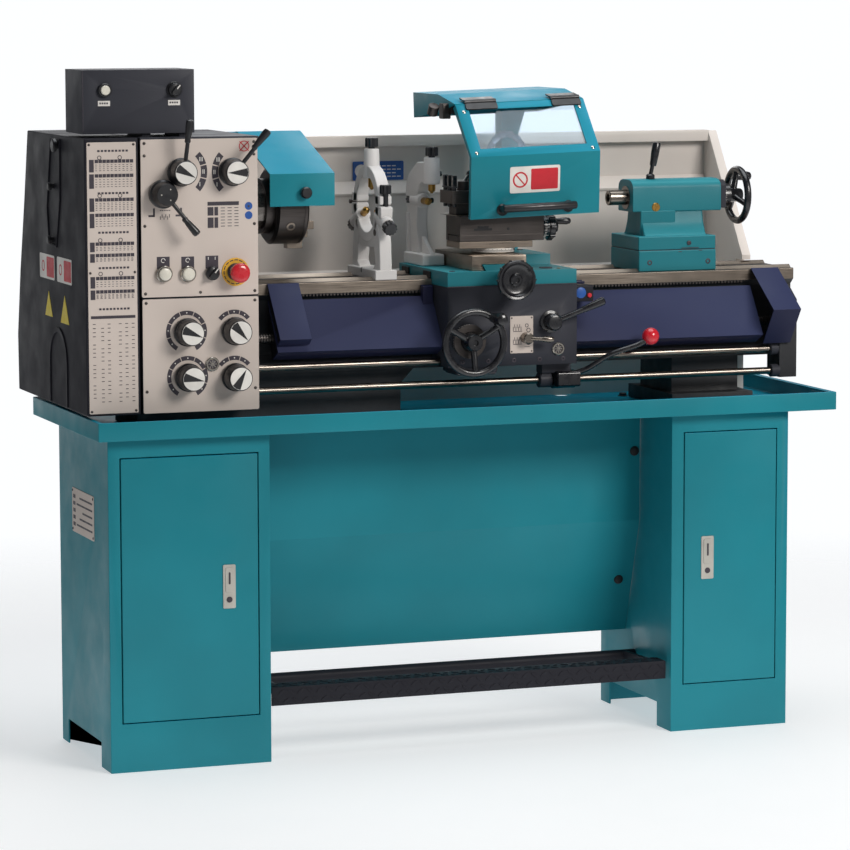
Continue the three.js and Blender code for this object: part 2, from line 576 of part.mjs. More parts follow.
add("tool_post", cut(
  join(
    box(POST.x - 37, POST.x + 38, POST.y - 37, POST.y + 38, 1180, 1208),
    box(POST.x - 22, POST.x + 22, POST.y - 22, POST.y + 22, TOP_SLIDE.z1 + FIT, 1181),
    ...[-27, 0, 27].flatMap((d) => [
      rod("z", POST.x - 28, POST.y + d, 5, 1172, 1214, 8),
      rod("z", POST.x - 28, POST.y + d, 7, 1216, 1241, 6),
      rod("z", POST.x - 28, POST.y + d, 5, 1213, 1217, 8),
    ]),
    rod("z", POST.x + 4, POST.y, 14, 1207, 1226, 12),
  ),
  rod("z", POST.x, POST.y, 9.5, 1140, 1216, 16),
), "steel");

// ---- chip shield ----
const SHIELD = { x0: 1, x1: 302, pivot: [200, 130, 1400] };
function tilted(geometry) {
  const [x, y, z] = SHIELD.pivot;
  return geometry.translate(-x, -y, -z).rotateY(SHIELD_TILT).translate(x, y, z);
}
const roofCheek = [[148, 1364], [148, 1418], [-11, 1418], [-111, 1401], [-70, 1390]];
add("shield_bracket", join(
  box(197, 237, 110, 150, 1020, 1385),
  box(150, 246, SADDLE.y1 + FIT, 150, 1020, 1034),
  tilted(join(
    alongX(sheet([[150, 1364], [150, 1420], [-11, 1420], [-113, 1402]], 4), SHIELD.x0, SHIELD.x1),
    alongX([[109, 1372], [109, 1418], [147, 1418], [147, 1372]], SHIELD.x0 + 20, SHIELD.x1 - 20),
    ...[SHIELD.x0, SHIELD.x1 - 4].map((x) => alongX(roofCheek, x, x + 4)),
  )),
  alongY([[236, 1300], [236, 1385], [262, 1385]], 120, 140),
), "teal");
const shieldLine = [[-116, 1401], [-207, 1290], [-190, 1154]];
const shieldCheek = [
  [-116, 1400], [-206, 1290], [-189, 1155], [-178, 1155], [-195, 1290], [-104, 1392],
];
add("chip_shield", tilted(cut(
  join(
    alongX(sheet(shieldLine, 4), SHIELD.x0, SHIELD.x1),
    ...[SHIELD.x0, SHIELD.x1 - 4].map((x) => alongX(shieldCheek, x, x + 4)),
    bar([74, -188, 1172], [74, -222, 1176], 7),
    bar([228, -188, 1172], [228, -222, 1176], 7),
    bar([68, -222, 1176], [234, -222, 1176], 8),
  ),
  alongZ([[28, -220], [28, -110], [276, -110], [276, -220]], 1306, 1388),
)), "blue");

// ---- steady rest ----
const quarter = (from, to, r, steps) => Array.from({ length: steps + 1 }, (_, i) => {
  const turn = THREE.MathUtils.degToRad(from + ((to - from) * i) / steps);
  return [SPINDLE.y + r * Math.cos(turn), SPINDLE.z + r * Math.sin(turn)];
});
const halfRing = (from, to, x0, x1) => alongX([...quarter(from, to, 84, 12), ...quarter(to, from, 62, 12)], x0, x1);
const steadyX = [STEADY_X - 14, STEADY_X + 14];
add("steady_frame", cut(
  join(
    halfRing(180.5, 359.5, ...steadyX),
    alongX([
      [WAY.y0, WAY.z + FIT], [WAY.y0, 1050], [-104, 1160], [-86, 1176], [-80, 1130], [-40, 1097],
      [0, 1097], [42, 1130], [46, 1176], [64, 1160], [WAY.y1, 1050], [WAY.y1, WAY.z + FIT],
    ], ...steadyX),
    box(STEADY_X - 25, STEADY_X + 25, WAY.y0, WAY.y1, WAY.z + FIT, 1040),
    alongX([[-118, 1150], [-118, 1176.5], [-80, 1176.5], [-80, 1150]], ...steadyX),
    alongX([[78, 1150], [78, 1176.5], [40, 1176.5], [40, 1150]], ...steadyX),
    bar([STEADY_X, -62, 1118], [STEADY_X, -96, 1072], 12),
  ),
  ridge(RIDGE.front, 0.5, STEADY_X - 30, STEADY_X + 30),
  ridge(RIDGE.rear, 0.5, STEADY_X - 30, STEADY_X + 30),
  box(STEADY_X - 30, STEADY_X + 30, -66, 26, 1000, 1080),
), "white");
add("steady_cap", join(
  halfRing(0.5, 179.5, ...steadyX),
  alongX([[-112, 1178.8], [-112, 1200], [-98, 1200], [-78, 1200], [-78, 1178.8]], ...steadyX),
  alongX([[74, 1178.8], [74, 1200], [38, 1200], [38, 1178.8]], ...steadyX),
  turned("z", STEADY_X, SPINDLE.y, [[1236, 18], [1298, 17]], 20),
  rod("z", STEADY_X, SPINDLE.y, 8, 1200, 1240, 12),
  turned("z", STEADY_X, SPINDLE.y, [[1297, 9], [1302, 14], [1322, 14]], 12),
), "white");

// ---- tailstock ----
add("tailstock", cut(
  join(
    box(TAIL.x0, TAIL.x1, TAIL.y0, TAIL.y1, WAY.z + FIT, 1064),
    box(TAIL.x0, TAIL.x1, TAIL.y0 + 2, TAIL.y1 - 2, 1063, 1094),
    alongX([[-72, 1093], [-56, 1150], [16, 1150], [36, 1093]], 463, 620),
    alongX([
      [-58, 1146], [-62, 1160], [-60, 1196], [-46, 1218], [6, 1218], [20, 1196], [22, 1160], [18, 1146],
    ], 445, 662),
    rod("x", SPINDLE.y, SPINDLE.z, 30, 661, 676, 24),
  ),
  rod("x", SPINDLE.y, SPINDLE.z, 17.4, 440, 652, 20),
  rod("x", SPINDLE.y, SPINDLE.z, 8.5, 640, 690, 16),
  ridge(RIDGE.front, 0.5, 440, 640),
  ridge(RIDGE.rear, 0.5, 440, 640),
), "teal");
add("quill", cut(
  rod("x", SPINDLE.y, SPINDLE.z, 17, 402, 600, 20),
  turned("x", SPINDLE.y, SPINDLE.z, [[395, 9.5], [450, 8]], 20),
), "bright");
add("tailstock_handwheel", join(
  turned("x", 0, 0, [[-22, 8], [0.5, 8], [0.5, 24], [18, 26], [20, 16], [52, 15]]),
  new THREE.TorusGeometry(58, 8, 6, 24).rotateY(Math.PI / 2).translate(44, 0, 0),
  ...[0, 2.1, 4.2].map((turn) => bar([40, 0, 0], [44, 58 * Math.cos(turn), 58 * Math.sin(turn)], 6, 6)),
  turned("x", 40, 40, [[44, 6], [54, 8], [92, 9], [96, 6]], 14),
), "black", at(676, SPINDLE.y, SPINDLE.z));
add("quill_lever", join(
  rod("z", 0, 0, 8, 0, 12, 14),
  bar([0, 0, 6], [16, 0, 76], 5),
  ball(17, 0, 80, 9, 10),
), "black", at(500, -32, 1219));

lathe.position.set(3.5, -23, 0);
export default lathe;
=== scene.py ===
"""Looks of a gear-head centre lathe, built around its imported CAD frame.

Lengths are in millimetres from the machine's own datum: X from the middle of the chip tray, Y from a
plane TRAY_FRONT behind the tray's front edge, Z from the floor. at() turns them into frame metres.
"""
import json
from math import cos, pi, radians, sin

import bmesh
import bpy
from mathutils import Matrix, Vector


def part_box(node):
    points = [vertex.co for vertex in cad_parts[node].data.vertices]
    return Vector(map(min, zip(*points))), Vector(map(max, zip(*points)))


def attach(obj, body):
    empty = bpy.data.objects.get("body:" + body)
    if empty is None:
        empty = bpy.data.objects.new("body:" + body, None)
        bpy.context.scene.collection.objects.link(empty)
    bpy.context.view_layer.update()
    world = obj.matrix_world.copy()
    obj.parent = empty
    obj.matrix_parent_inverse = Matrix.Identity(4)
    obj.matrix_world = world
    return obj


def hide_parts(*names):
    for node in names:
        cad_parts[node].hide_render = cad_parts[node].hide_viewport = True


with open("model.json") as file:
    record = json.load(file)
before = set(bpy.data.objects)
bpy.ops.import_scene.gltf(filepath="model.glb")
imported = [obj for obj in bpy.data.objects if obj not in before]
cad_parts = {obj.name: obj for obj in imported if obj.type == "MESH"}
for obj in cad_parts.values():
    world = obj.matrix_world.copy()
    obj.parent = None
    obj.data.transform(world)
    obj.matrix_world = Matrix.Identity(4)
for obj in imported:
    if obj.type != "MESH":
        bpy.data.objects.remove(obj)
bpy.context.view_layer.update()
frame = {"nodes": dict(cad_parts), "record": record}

MM = 0.001
TRAY_FRONT = 273
BODY = {node: body for body, nodes in frame["record"]["behaviour"]["bodies"].items() for node in nodes}
tray_lo, tray_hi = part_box("chip_tray")
DATUM = Vector(((tray_lo.x + tray_hi.x) / 2, tray_lo.y + TRAY_FRONT * MM, 0))


def at(x, y, z):
    return DATUM + Vector((x, y, z)) * MM


def edges(node):
    """Lowest and highest corner of a CAD node in datum millimetres."""
    lo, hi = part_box(node)
    return (lo - DATUM) / MM, (hi - DATUM) / MM


# ---- camera, floor and lights ----
CAMERA_PLACE = (-2.8964, -7.8910, 1.6670)
CAMERA_TURN = (83.291, 0.0, -20.054)
CAMERA_ROLL = -0.123
LENS = 160.8
WORLD_FADE = (0.02, 0.25, 1.02, 0.22)
WORLD_BACKDROP = (0.343, 0.939, 0.0)
WORLD_SIDE_FADE = (0.8, 0.95, 0.32, 1.0)
SURROUND = (0.97, 0.985, 1.0)
FLOOR_FULL = 1.5
FLOOR_EDGE = 3.2


def make_camera():
    data = bpy.data.cameras.new("camera")
    data.lens = LENS
    data.sensor_width = 36
    data.clip_end = 60
    camera = bpy.data.objects.new("camera", data)
    turn = Matrix.Rotation(radians(CAMERA_TURN[2]), 4, "Z") @ Matrix.Rotation(radians(CAMERA_TURN[0]), 4,
        "X")
    turn = turn @ Matrix.Rotation(radians(CAMERA_ROLL), 4, "Z")
    camera.matrix_world = Matrix.Translation(CAMERA_PLACE) @ turn
    bpy.context.collection.objects.link(camera)
    bpy.context.scene.camera = camera


def area_light(name, place, target, size, power, color=(1, 1, 1)):
    data = bpy.data.lights.new(name, "AREA")
    data.shape = "RECTANGLE"
    data.size, data.size_y = size
    data.energy = power
    data.color = color
    lamp = bpy.data.objects.new(name, data)
    lamp.location = place
    lamp.rotation_euler = (Vector(target) - Vector(place)).to_track_quat("-Z", "Y").to_euler()
    bpy.context.collection.objects.link(lamp)


def make_studio():
    bpy.context.scene.view_settings.view_transform = "Standard"
    world = bpy.data.worlds.new("studio")
    world.use_nodes = True
    tree = world.node_tree
    height = tree.nodes.new("ShaderNodeSeparateXYZ")
    fade = tree.nodes.new("ShaderNodeMapRange")
    for key, value in zip(("From Min", "From Max", "To Min", "To Max"), WORLD_FADE):
        fade.inputs[key].default_value = value
    facing = tree.nodes.new("ShaderNodeVectorMath")
    facing.operation = "DOT_PRODUCT"
    facing.inputs[1].default_value = WORLD_BACKDROP
    for target in (height.inputs[0], facing.inputs[0]):
        tree.links.new(tree.nodes.new("ShaderNodeTexCoord").outputs["Generated"], target)
    side = tree.nodes.new("ShaderNodeMapRange")
    for key, value in zip(("From Min", "From Max", "To Min", "To Max"), WORLD_SIDE_FADE):
        side.inputs[key].default_value = value
    tree.links.new(facing.outputs["Value"], side.inputs["Value"])
    strength = tree.nodes.new("ShaderNodeMath")
    strength.operation = "MULTIPLY"
    tree.links.new(height.outputs["Z"], fade.inputs["Value"])
    back = tree.nodes["Background"]
    back.inputs["Color"].default_value = (*SURROUND, 1)
    tree.links.new(fade.outputs["Result"], strength.inputs[0])
    tree.links.new(side.outputs["Result"], strength.inputs[1])
    tree.links.new(strength.outputs["Value"], back.inputs["Strength"])
    bpy.context.scene.world = world
    area_light("key", (2.2, -4.8, 3.6), (0.1, 0, 0.8), (2.4, 1.8), 192, (1.0, 0.97, 0.93))
    area_light("fill", (-4.2, -3.6, 2.2), (0, 0, 0.8), (2.4, 2.4), 6, (0.9, 0.95, 1.0))
    area_light("sky", (0.2, 0.2, 4.4), (0, 0, 0.8), (3.6, 3.0), 92, (0.93, 0.97, 1.0))
    area_light("rim", (0.5, 4.0, 3.2), (0, 0, 1.0), (3.0, 1.6), 30)
    piece_mesh("floor", disc_mesh(FLOOR_EDGE, 96), floor_material())


# ---- procedural materials ----
class Shader:
    """A Principled material with short calls for the nodes that feed it."""

    def __init__(self, name, color, roughness, metallic=0.0):
        self.material = bpy.data.materials.new(name)
        self.material.use_nodes = True
        self.tree = self.material.node_tree
        self.out = self.tree.nodes["Principled BSDF"]
        self.out.inputs["Base Color"].default_value = (*color, 1)
        self.out.inputs["Roughness"].default_value = roughness
        self.out.inputs["Metallic"].default_value = metallic
        self.coordinates = self.node("TexCoord").outputs["Object"]

    def node(self, kind, **values):
        made = self.tree.nodes.new("ShaderNode" + kind)
        for key, value in values.items():
            setattr(made, key, value)
        return made

    def link(self, source, target):
        self.tree.links.new(source, target)

    def noise(self, scale, detail=3.0, stretch=(1, 1, 1)):
        vector = self.node("Mapping")
        vector.inputs["Scale"].default_value = stretch
        self.link(self.coordinates, vector.inputs["Vector"])
        made = self.node("TexNoise")
        made.inputs["Scale"].default_value = scale
        made.inputs["Detail"].default_value = detail
        self.link(vector.outputs["Vector"], made.inputs["Vector"])
        return made.outputs["Fac"]

    def span(self, source, lo, hi, to_lo, to_hi):
        made = self.node("MapRange")
        for key, value in zip(("From Min", "From Max", "To Min", "To Max"), (lo, hi, to_lo, to_hi)):
            made.inputs[key].default_value = value
        self.link(source, made.inputs["Value"])
        return made.outputs["Result"]

    def mix(self, factor, a, b):
        made = self.node("Mix", data_type="RGBA")
        self.link(factor, made.inputs["Factor"])
        for socket, value in ((made.inputs[6], a), (made.inputs[7], b)):
            if hasattr(value, "is_linked"):
                self.link(value, socket)
            else:
                socket.default_value = (*value, 1)
        return made.outputs[2]

    def edges(self, radius):
        """1 on edges that curve within the radius, 0 on flat ground."""
        bevel = self.node("Bevel", samples=4)
        bevel.inputs["Radius"].default_value = radius
        flat = self.node("NewGeometry").outputs["Normal"]
        dot = self.node("VectorMath", operation="DOT_PRODUCT")
        self.link(bevel.outputs["Normal"], dot.inputs[0])
        self.link(flat, dot.inputs[1])
        return self.span(dot.outputs["Value"], 0.97, 0.80, 0.0, 1.0)

    # Mask of faces that point up; it places the painted sky reflection.
    def upward(self):
        normal = self.node("SeparateXYZ")
        self.link(self.node("NewGeometry").outputs["Normal"], normal.inputs[0])
        return self.span(normal.outputs["Z"], 0.25, 0.75, 0.0, 1.0)

    def bump(self, source, distance, strength=1.0):
        made = self.node("Bump")
        made.inputs["Distance"].default_value = distance
        made.inputs["Strength"].default_value = strength
        self.link(source, made.inputs["Height"])
        self.link(made.outputs["Normal"], self.out.inputs["Normal"])

    def set_color(self, source):
        self.link(source, self.out.inputs["Base Color"])

    def set_roughness(self, source):
        self.link(source, self.out.inputs["Roughness"])


def shade(color, factor):
    return tuple(min(1.0, c * factor) for c in color)


def srgb(code):
    """Linear colour of a hex code."""
    parts = [int(code[i:i + 2], 16) / 255 for i in (0, 2, 4)]
    return tuple(c / 12.92 if c <= 0.04045 else ((c + 0.055) / 1.055) ** 2.4 for c in parts)


def floor_material():
    """Pale floor that thins out into the bright surround."""
    s = Shader("floor_white", (0.62, 0.62, 0.62), 0.6)
    s.set_roughness(s.span(s.noise(9.0), 0.3, 0.7, 0.55, 0.65))
    away = s.node("VectorMath", operation="LENGTH")
    s.link(s.coordinates, away.inputs[0])
    s.link(s.span(away.outputs["Value"], FLOOR_FULL, FLOOR_EDGE, 1.0, 0.0), s.out.inputs["Alpha"])
    s.out.inputs["Emission Color"].default_value = (*SURROUND, 1)
    s.out.inputs["Emission Strength"].default_value = 0.5
    return s.material


def paint(name, color, roughness=0.35, sky=None, wear_and_highlight=0.35, peel=0.00012, gloss=0.5, coat=0.25):
    """Sprayed enamel: mottling, orange peel, lighter edges that are partly worn paint and partly painted
    highlight and, if sky is given, painted sky reflection on upward faces.
    """
    s = Shader(name, color, roughness)
    base = s.mix(s.span(s.noise(2.6, 4), 0.35, 0.65, 0, 1), shade(color, 0.90), shade(color, 1.08))
    # Painted sky reflection: upward faces are mixed towards the sky colour.
    if sky:
        base = s.mix(s.upward(), base, sky)
    # Lighter edges: partly worn paint, partly painted highlight.
    rubbed_and_highlit = s.node("Math", operation="MULTIPLY")
    s.link(s.edges(0.0016), rubbed_and_highlit.inputs[0])
    s.link(s.span(s.noise(55, 5), 0.42, 0.62, 0.0, wear_and_highlight), rubbed_and_highlit.inputs[1])
    s.set_color(s.mix(rubbed_and_highlit.outputs[0], base, shade(color, 2.2) if max(color) > 0.03 else (0.16, 0.16,
        0.17)))
    s.set_roughness(s.span(s.noise(14, 5), 0.3, 0.7, roughness - 0.07, roughness + 0.10))
    s.bump(s.noise(420, 2), peel, 0.5)
    s.out.inputs["Specular IOR Level"].default_value = gloss
    s.out.inputs["Coat Weight"].default_value = coat
    s.out.inputs["Coat Roughness"].default_value = 0.18
    return s.material


def ground(name, color, roughness=0.28, along="X", grain=0.00004):
    """Ground or brushed steel with fine scratches along one axis and faint oil staining."""
    s = Shader(name, color, roughness, 1.0)
    stretch = {"X": (2, 90, 90), "Y": (90, 2, 90), "Z": (90, 90, 2)}[along]
    scratches = s.noise(9, 6, stretch)
    stains = s.span(s.noise(11, 4), 0.42, 0.68, 0, 1)
    base = s.mix(s.span(scratches, 0.3, 0.7, 0, 1), shade(color, 0.82), shade(color, 1.15))
    s.set_color(s.mix(stains, base, shade(color, 0.72)))
    s.set_roughness(s.span(scratches, 0.3, 0.7, roughness - 0.07, roughness + 0.12))
    s.bump(scratches, grain, 0.6)
    return s.material


def casting(name, color, roughness=0.55):
    """Painted casting: coarse sand texture under thick paint."""
    s = Shader(name, color, roughness)
    s.set_color(s.mix(s.span(s.noise(6, 5), 0.3, 0.7, 0, 1), shade(color, 0.8), shade(color, 1.2)))
    s.set_roughness(s.span(s.noise(30, 5), 0.3, 0.7, roughness - 0.12, roughness + 0.12))
    s.bump(s.noise(130, 6), 0.0006, 0.5)
    return s.material


def moulded(name, color, roughness=0.38, coat=0.3, grain=0.00008):
    """Moulded plastic or enamelled grip with fine grain and handling marks."""
    s = Shader(name, color, roughness)
    s.set_color(s.mix(s.span(s.noise(18, 4), 0.3, 0.7, 0, 1), shade(color, 0.88), shade(color, 1.15)))
    s.set_roughness(s.span(s.noise(70, 5), 0.35, 0.65, roughness - 0.08, roughness + 0.14))
    s.bump(s.noise(600, 3), grain, 0.4)
    s.out.inputs["Coat Weight"].default_value = coat
    return s.material


def glazed(name, color, roughness=0.04, transmission=1.0):
    """Clear sheet with faint smears."""
    s = Shader(name, color, roughness)
    s.out.inputs["Transmission Weight"].default_value = transmission
    s.out.inputs["IOR"].default_value = 1.45
    s.set_roughness(s.span(s.noise(7, 5, (1, 4, 1)), 0.35, 0.7, roughness, roughness + 0.06))
    s.set_color(s.mix(s.noise(3), shade(color, 0.97), color))
    return s.material


TEAL = srgb("1f8391")
# Bluer teal painted on upward faces as sky reflection.
PAINTED_SKY_TEAL = srgb("0091ae")
DULL = {"gloss": 0.18, "coat": 0.0}
# Each sky colour below is painted sky reflection on the upward faces.
MATERIAL = {
    "teal": paint("teal_paint", TEAL, 0.38, sky=PAINTED_SKY_TEAL, gloss=0.2, coat=0.04),
    "casting_teal": paint("teal_casting_paint", srgb("1f7883"), 0.45, sky=srgb("2e8f9b"), peel=0.0004,
        gloss=0.25, coat=0.05),
    "navy": paint("navy_paint", srgb("262843"), 0.45, sky=srgb("33395a"), wear_and_highlight=0.3, **DULL),
    "cream": paint("cream_paint", srgb("e8dfd8"), 0.45, wear_and_highlight=0.1, gloss=0.3, coat=0.05),
    "panel": paint("panel_print", srgb("d3c6bd"), 0.5, wear_and_highlight=0.0, peel=0.00004, gloss=0.3, coat=0.0),
    "white": paint("white_casting_paint", srgb("dedbd9"), 0.48, wear_and_highlight=0.15, peel=0.0004, gloss=0.3,
        coat=0.05),
    "dark": paint("dark_cover_paint", srgb("24242b"), 0.5, wear_and_highlight=0.2, peel=0.0002, **DULL),
    "charcoal": paint("charcoal_paint", srgb("3b3c43"), 0.48, wear_and_highlight=0.25, peel=0.0003, **DULL),
    "cast": casting("cast_iron_paint", srgb("26272b")),
    "steel": ground("ground_steel", srgb("9a8e82"), 0.34),
    # Dark steel: a real dark finish on small parts, painted shade on the top slide and tool post.
    "steel_dark": ground("phosphated_steel_and_painted_shade", srgb("5a5553"), 0.40),
    "steel_turned": ground("turned_steel", srgb("8d8782"), 0.30, "Y"),
    "polished": ground("polished_steel", srgb("c9c2b8"), 0.16, "X", 0.00001),
    "rod_steel": ground("drawn_rod_steel", srgb("8d847b"), 0.24, "X", 0.00001),
    "brass": ground("brass", srgb("b08a4a"), 0.30, "Z"),
    # Black moulded colour; also painted shade in the top slide's front slot and hole.
    "black": moulded("black_plastic_and_painted_shade", srgb("17171b")),
    "enamel": moulded("black_enamel", srgb("131318"), 0.28, 0.5, 0.00003),
    "rubber": moulded("black_rubber", srgb("141416"), 0.62, 0.0, 0.0003),
    "red": moulded("red_plastic", srgb("d21f2d"), 0.25, 0.6, 0.00002),
    "yellow": moulded("yellow_plastic", srgb("e8b43a"), 0.35, 0.3, 0.00003),
    "grey": moulded("grey_plastic", srgb("b9b6ae"), 0.40, 0.2, 0.0001),
    "lamp": moulded("lamp_lens", srgb("e9e4d6"), 0.22, 0.6, 0.00002),
    # Dark print colour; also painted shade in the chuck jaw slots, feed rod keyway and latch slot.
    "ink_and_painted_shade": moulded("print_dark_and_painted_shade", srgb("3d3740"), 0.5, 0.0, 0.00001),
    "paper": moulded("print_white", srgb("e6e2dc"), 0.45, 0.1, 0.00001),
    "print_red": moulded("print_red", srgb("c8202e"), 0.45, 0.1, 0.00001),
    "print_blue": moulded("print_blue", srgb("1f56a5"), 0.45, 0.1, 0.00001),
    "print_yellow": moulded("print_yellow", srgb("e0c81e"), 0.45, 0.1, 0.00001),
    "pane": glazed("clear_pane", (0.72, 0.86, 0.98), 0.02),
    "hose": glazed("clear_hose", (0.72, 0.80, 0.92), 0.15, 0.55),
}


# ---- mesh building ----
def piece_mesh(name, bm, material, bevel=0.0, smooth=34, segments=3):
    """An object of the mesh; edges sharper than smooth degrees stay crisp or take a bevel in millimetres."""
    bmesh.ops.recalc_face_normals(bm, faces=bm.faces)
    mesh = bpy.data.meshes.new(name)
    bm.to_mesh(mesh)
    bm.free()
    mesh.materials.append(material)
    mesh.polygons.foreach_set("use_smooth", [True] * len(mesh.polygons))
    if not bevel:
        mesh.set_sharp_from_angle(angle=radians(smooth))
    obj = bpy.data.objects.new(name, mesh)
    bpy.context.collection.objects.link(obj)
    if bevel:
        rounded = obj.modifiers.new("rounded", "BEVEL")
        rounded.width = bevel * MM
        rounded.segments = segments
        rounded.angle_limit = radians(smooth)
        rounded.harden_normals = True
    return obj


def disc_mesh(radius, sides):
    bm = bmesh.new()
    bmesh.ops.create_circle(bm, cap_ends=True, radius=radius, segments=sides)
    return bm


def skin(bm, rings):
    """Faces between rings that have as many points each, with both ends closed."""
    for low, high in zip(rings, rings[1:]):
        for i in range(len(low)):
            j = (i + 1) % len(low)
            bm.faces.new((low[i], low[j], high[j], high[i]))
    bm.faces.new(rings[0][::-1])
    bm.faces.new(rings[-1])


def add_plate(bm, low, high):
    """Solid between two matching outlines of places."""
    skin(bm, [[bm.verts.new(at(*place)) for place in outline] for outline in (low, high)])


def add_prism(bm, outline, axis, a, b):
    """Closed outline swept along an axis; the outline's two numbers are the other two axes in order."""
    def place(u, v, w):
        return {"x": (w, u, v), "y": (u, w, v), "z": (u, v, w)}[axis]
    add_plate(bm, *([place(u, v, w) for u, v in outline] for w in (a, b)))


def add_box(bm, x0, x1, y0, y1, z0, z1):
    add_prism(bm, [(x0, y0), (x1, y0), (x1, y1), (x0, y1)], "z", z0, z1)


def turn_to(direction):
    """Rotation that takes +Z onto the direction."""
    return Vector((0, 0, 1)).rotation_difference(Vector(direction).normalized()).to_matrix().to_4x4()


def add_turned(bm, centre, direction, profile, sides=40, turn=0.0, closed=False):
    """Profile of (along, radius) points turned about an axis; a closed one makes a ring with a bore."""
    place = Matrix.Translation(at(*centre)) @ turn_to(direction) @ Matrix.Rotation(turn, 4, "Z")
    rings = []
    for along, r in profile:
        if r < 1e-6:
            rings.append([bm.verts.new(place @ Vector((0, 0, along * MM)))])
            continue
        steps = [2 * pi * i / sides for i in range(sides)]
        rings.append([bm.verts.new(place @ (Vector((r * cos(t), r * sin(t), along)) * MM)) for t in steps])
    following = rings[1:] + rings[:1] if closed else rings[1:]
    for low, high in zip(rings, following):
        for i in range(sides):
            j = (i + 1) % sides
            corners = [low[i % len(low)], low[j % len(low)], high[j % len(high)], high[i % len(high)]]
            unique = list(dict.fromkeys(corners))
            if len(unique) > 2:
                bm.faces.new(unique)
    for ring in () if closed else (rings[0], rings[-1]):
        if len(ring) > 2:
            bm.faces.new(ring)


def add_bar(bm, a, b, r0, r1=None, sides=20):
    along = Vector(b) - Vector(a)
    add_turned(bm, a, along, [(0, r0), (along.length, r0 if r1 is None else r1)], sides)


def smooth_line(points, per=8):
    """Points along a Catmull-Rom curve through the given ones."""
    p = [Vector(q) for q in points]
    p = [2 * p[0] - p[1], *p, 2 * p[-1] - p[-2]]
    line = []
    for i in range(1, len(p) - 2):
        for k in range(per):
            t = k / per
            a, b, c, d = p[i - 1], p[i], p[i + 1], p[i + 2]
            line.append(0.5 * (2 * b + (c - a) * t + (2 * a - 5 * b + 4 * c - d) * t * t
                               + (3 * b - a - 3 * c + d) * t ** 3))
    return [*line, p[-2]]


def add_tube(bm, points, radius, sides=16):
    """Round bar along the points, radius a number or one number per point."""
    count = len(points)
    radii = [radius] * count if isinstance(radius, (int, float)) else radius
    side = None
    rings = []
    for i, (point, r) in enumerate(zip(points, radii)):
        along = (points[min(i + 1, count - 1)] - points[max(i - 1, 0)]).normalized()
        side = along.orthogonal() if side is None else side
        side = (side - along * side.dot(along)).normalized()
        other = along.cross(side)
        turns = [2 * pi * k / sides for k in range(sides)]
        rings.append([bm.verts.new(at(*(point + (side * cos(t) + other * sin(t)) * r))) for t in turns])
    skin(bm, rings)


def add_ball(bm, centre, r, sides=28):
    half = sides // 2
    profile = [(-r * cos(pi * i / half), r * sin(pi * i / half)) for i in range(half + 1)]
    profile[0], profile[-1] = (-r, 0), (r, 0)
    add_turned(bm, centre, (0, 0, 1), profile, sides)


def add_torus(bm, centre, direction, ring, r, sides, around=16):
    place = Matrix.Translation(at(*centre)) @ turn_to(direction)
    rings = []
    for i in range(sides):
        t = 2 * pi * i / sides
        circle = []
        for k in range(around):
            q = 2 * pi * k / around
            out = ring + r * cos(q)
            circle.append(bm.verts.new(place @ (Vector((out * cos(t), out * sin(t), r * sin(q))) * MM)))
        rings.append(circle)
    for i in range(sides):
        for k in range(around):
            a, b = rings[i], rings[(i + 1) % sides]
            m = (k + 1) % around
            bm.faces.new((a[k], b[k], b[m], a[m]))


def arc(centre, r, start, end, steps=12):
    """Points on a circle, from one angle to another in degrees."""
    turns = [radians(start + (end - start) * i / steps) for i in range(steps + 1)]
    return [(centre[0] + r * cos(t), centre[1] + r * sin(t)) for t in turns]


def swing(points, turn, x, z):
    """Points turned about their origin by an angle in degrees and moved to (x, z)."""
    c, s = cos(radians(turn)), sin(radians(turn))
    return [(x + u * c - v * s, z + u * s + v * c) for u, v in points]


def ring_part(centre, r0, r1, start, end, steps=16):
    return arc(centre, r1, start, end, steps) + arc(centre, r0, end, start, steps)


def rounded(u0, u1, v0, v1, r, steps=5):
    """Rectangle with round corners, as an outline."""
    corners = [((u1 - r, v1 - r), 0), ((u0 + r, v1 - r), 90), ((u0 + r, v0 + r), 180),
        ((u1 - r, v0 + r), 270)]
    return [p for centre, start in corners for p in arc(centre, r, start, start + 90, steps)]


def make(name, node, material, build, bevel=0.0, stands_for=False, segments=3):
    """A piece that rides with the node's body: build(bm) adds its surfaces."""
    bm = bmesh.new()
    build(bm)
    piece = piece_mesh(name, bm, MATERIAL[material], bevel, segments=segments)
    if stands_for:
        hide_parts(node)
    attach(piece, BODY[node])
    return piece


def printed(name, node, material, build, bevel=0.0):
    """A printed marking or its plate."""
    return make(name, node, material, build, bevel)


def dress(node, material, bevel=1.2, smooth=30, segments=3):
    """The node's own shape with its flat faces merged and its edges rounded."""
    bm = bmesh.new()
    bm.from_mesh(frame["nodes"][node].data)
    bmesh.ops.remove_doubles(bm, verts=bm.verts, dist=2e-6)
    bmesh.ops.dissolve_limit(bm, angle_limit=radians(0.6), verts=bm.verts, edges=bm.edges)
    piece = piece_mesh(node + "_finished", bm, MATERIAL[material], bevel, smooth, segments)
    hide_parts(node)
    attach(piece, BODY[node])
    return piece


def recolour(node, material):
    node_object = frame["nodes"][node]
    node_object.data.materials.clear()
    node_object.data.materials.append(MATERIAL[material])


def screws(name, node, places, direction=(0, -1, 0), r=3.4, high=1.6):
    """Round-head screws at places on a face."""
    def build(bm):
        for place in places:
            add_turned(bm, place, direction, [(-0.5, r), (0.2, r), (high * 0.7, r * 0.85), (high, r * 0.45),
                (high, 0)], 18)
    return make(name, node, "steel_dark", build)


# ---- stand ----
PEDAL_FACE = -228
PANEL_FOLD_Z = 452
PANEL_FRONT_Y = -65
PANEL_LEAN = 80 / 262
COVER_LEFT = -857
PANEL_FACE = -206


